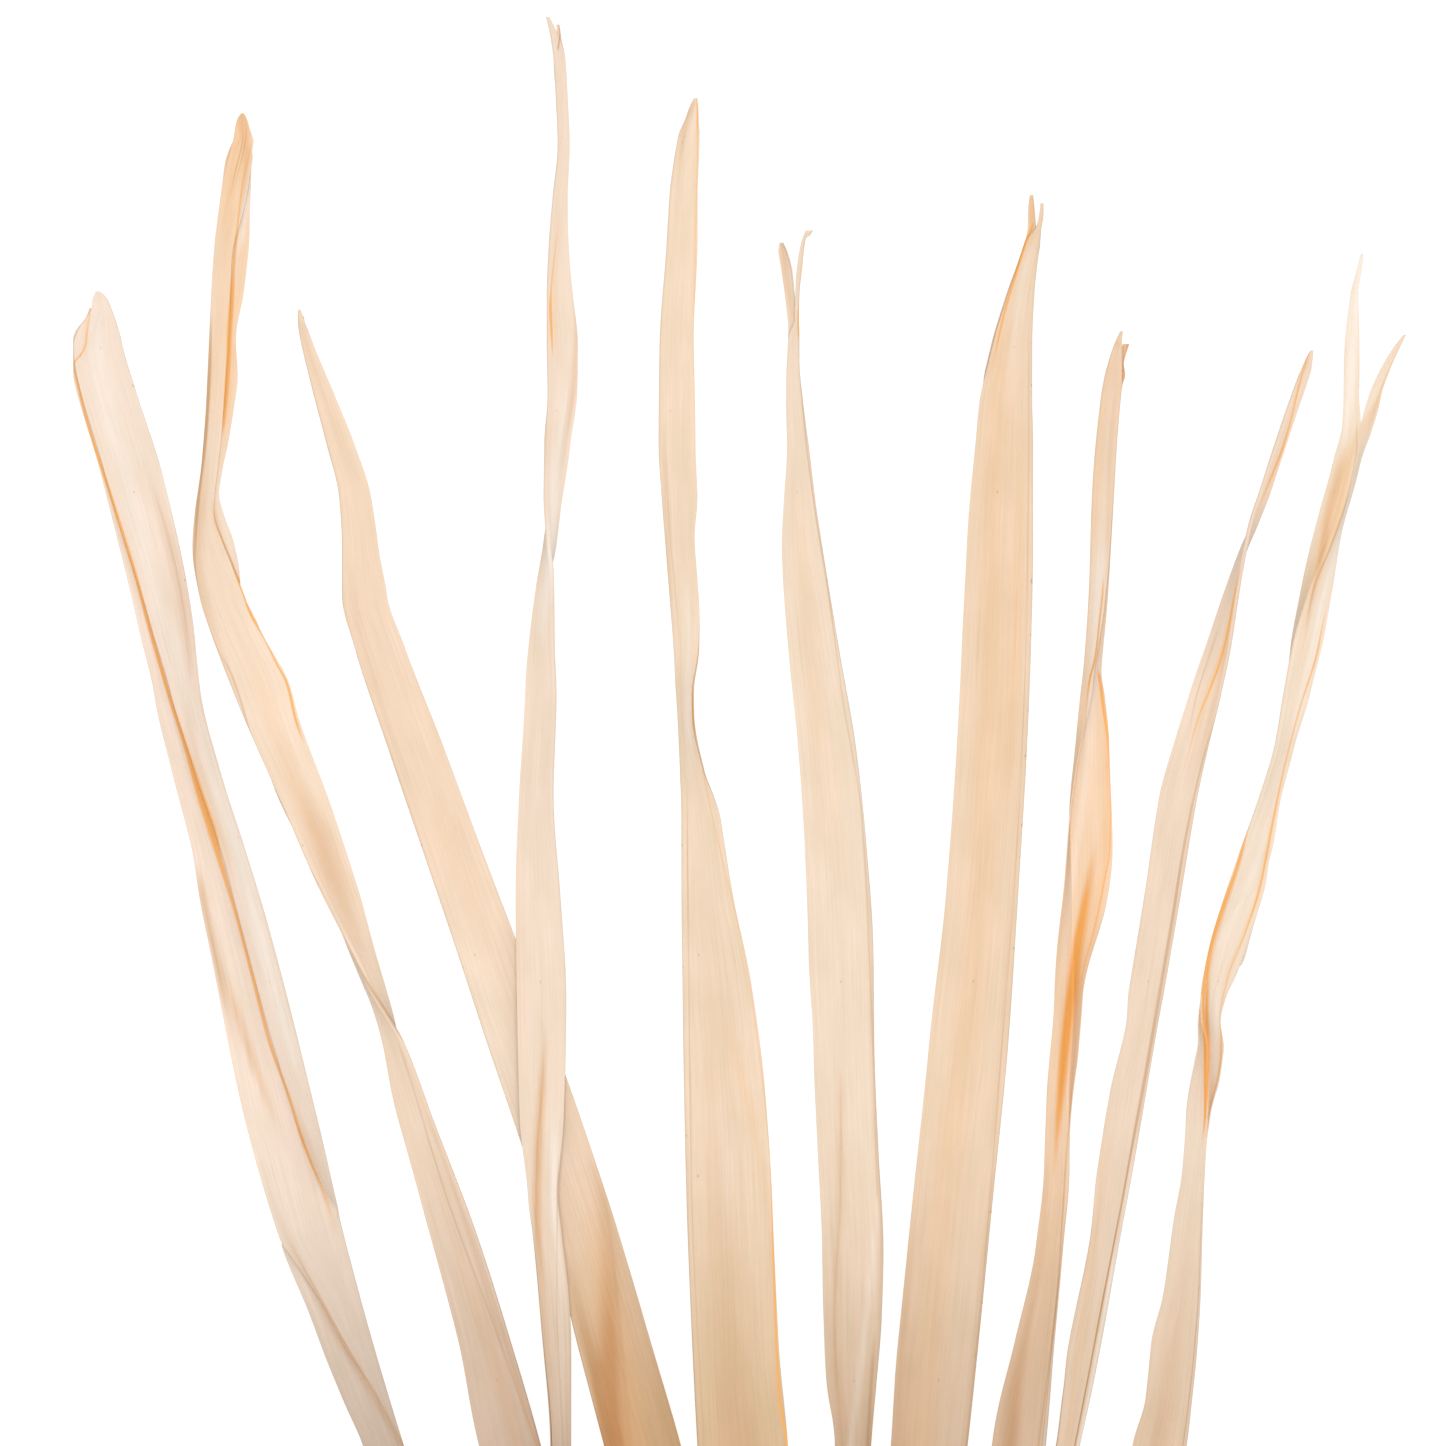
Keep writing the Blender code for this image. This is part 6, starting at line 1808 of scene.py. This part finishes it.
def make_floor():
    """A square of white board just below the leaves."""
    material = bpy.data.materials.new("white_board")
    material.use_nodes = True
    shader = material.node_tree.nodes["Principled BSDF"]
    shader.inputs["Base Color"].default_value = BOARD_GREY
    shader.inputs["Roughness"].default_value = BOARD_ROUGHNESS
    shader.inputs["Emission Color"].default_value = WHITE
    shader.inputs["Emission Strength"].default_value = BOARD_GLOW
    mesh = bpy.data.meshes.new("white_board")
    corners = [(x * BOARD_HALF, y * BOARD_HALF, -BOARD_DROP) for x, y in ((-1, -1), (1, -1), (1, 1), (-1, 1))]
    mesh.from_pydata(corners, [], [(0, 1, 2, 3)])
    mesh.materials.append(material)
    floor = bpy.data.objects.new("white_board", mesh)
    bpy.context.scene.collection.objects.link(floor)


make_floor()
print("the board is", 2 * BOARD_HALF, "m wide")

# %% [markdown]
# Soft light comes from all round and from a wide panel straight above, so that the hollows between
# the folds are lit too. A large soft lamp to one side lets the folds keep their shape. Every shadow
# has a wide edge.

# %% Light
TENT_LIGHT = 0.75
SOFTBOX_SIZE = 1.6
SOFTBOX_WATTS = 4.0
SOFTBOX_PLACE = (1.5, 1.1, 2.0)
SOFTBOX_DEGREES = (-36, 34, 0)
PANEL_LIGHT = 2.1
PANEL_DEGREES = 25


def make_light():
    """The white tent, the softbox and the panel above."""
    world = bpy.data.worlds.new("light_tent")
    world.use_nodes = True
    background = world.node_tree.nodes["Background"]
    background.inputs["Color"].default_value = WHITE
    background.inputs["Strength"].default_value = TENT_LIGHT
    bpy.context.scene.world = world
    lamp = bpy.data.lights.new("softbox", "AREA")
    lamp.shape = "RECTANGLE"
    lamp.size = SOFTBOX_SIZE
    lamp.size_y = SOFTBOX_SIZE
    lamp.energy = SOFTBOX_WATTS
    softbox = bpy.data.objects.new("softbox", lamp)
    softbox.location = SOFTBOX_PLACE
    softbox.rotation_euler = np.radians(SOFTBOX_DEGREES)
    bpy.context.scene.collection.objects.link(softbox)
    panel = bpy.data.lights.new("panel", "SUN")
    panel.energy = PANEL_LIGHT
    panel.angle = np.radians(PANEL_DEGREES)
    bpy.context.scene.collection.objects.link(bpy.data.objects.new("panel", panel))


make_light()
print("lights:", [light.name for light in bpy.data.lights])

# %% [markdown]
# The picture is taken from straight above with a long lens, 578 mm wide on the leaves. The stalks
# and the tie are below its edge.

# %% Camera
CAMERA_HEIGHT = 6.0
LEAF_HEIGHT = 0.012
FRAME_HEIGHT = 0.5784
SENSOR = 36.0
CAMERA_X = -0.00656
CAMERA_Y = 0.24474
SIGHT_END = 20.0

camera_data = bpy.data.cameras.new("camera")
camera_data.sensor_width = SENSOR
camera_data.lens = SENSOR * (CAMERA_HEIGHT - LEAF_HEIGHT) / FRAME_HEIGHT
camera_data.clip_end = SIGHT_END
camera = bpy.data.objects.new("camera", camera_data)
camera.location = (CAMERA_X, CAMERA_Y, CAMERA_HEIGHT)
bpy.context.scene.collection.objects.link(camera)
bpy.context.scene.camera = camera
bpy.context.scene.view_settings.view_transform = "Standard"
print("lens:", round(camera_data.lens, 1), "mm")
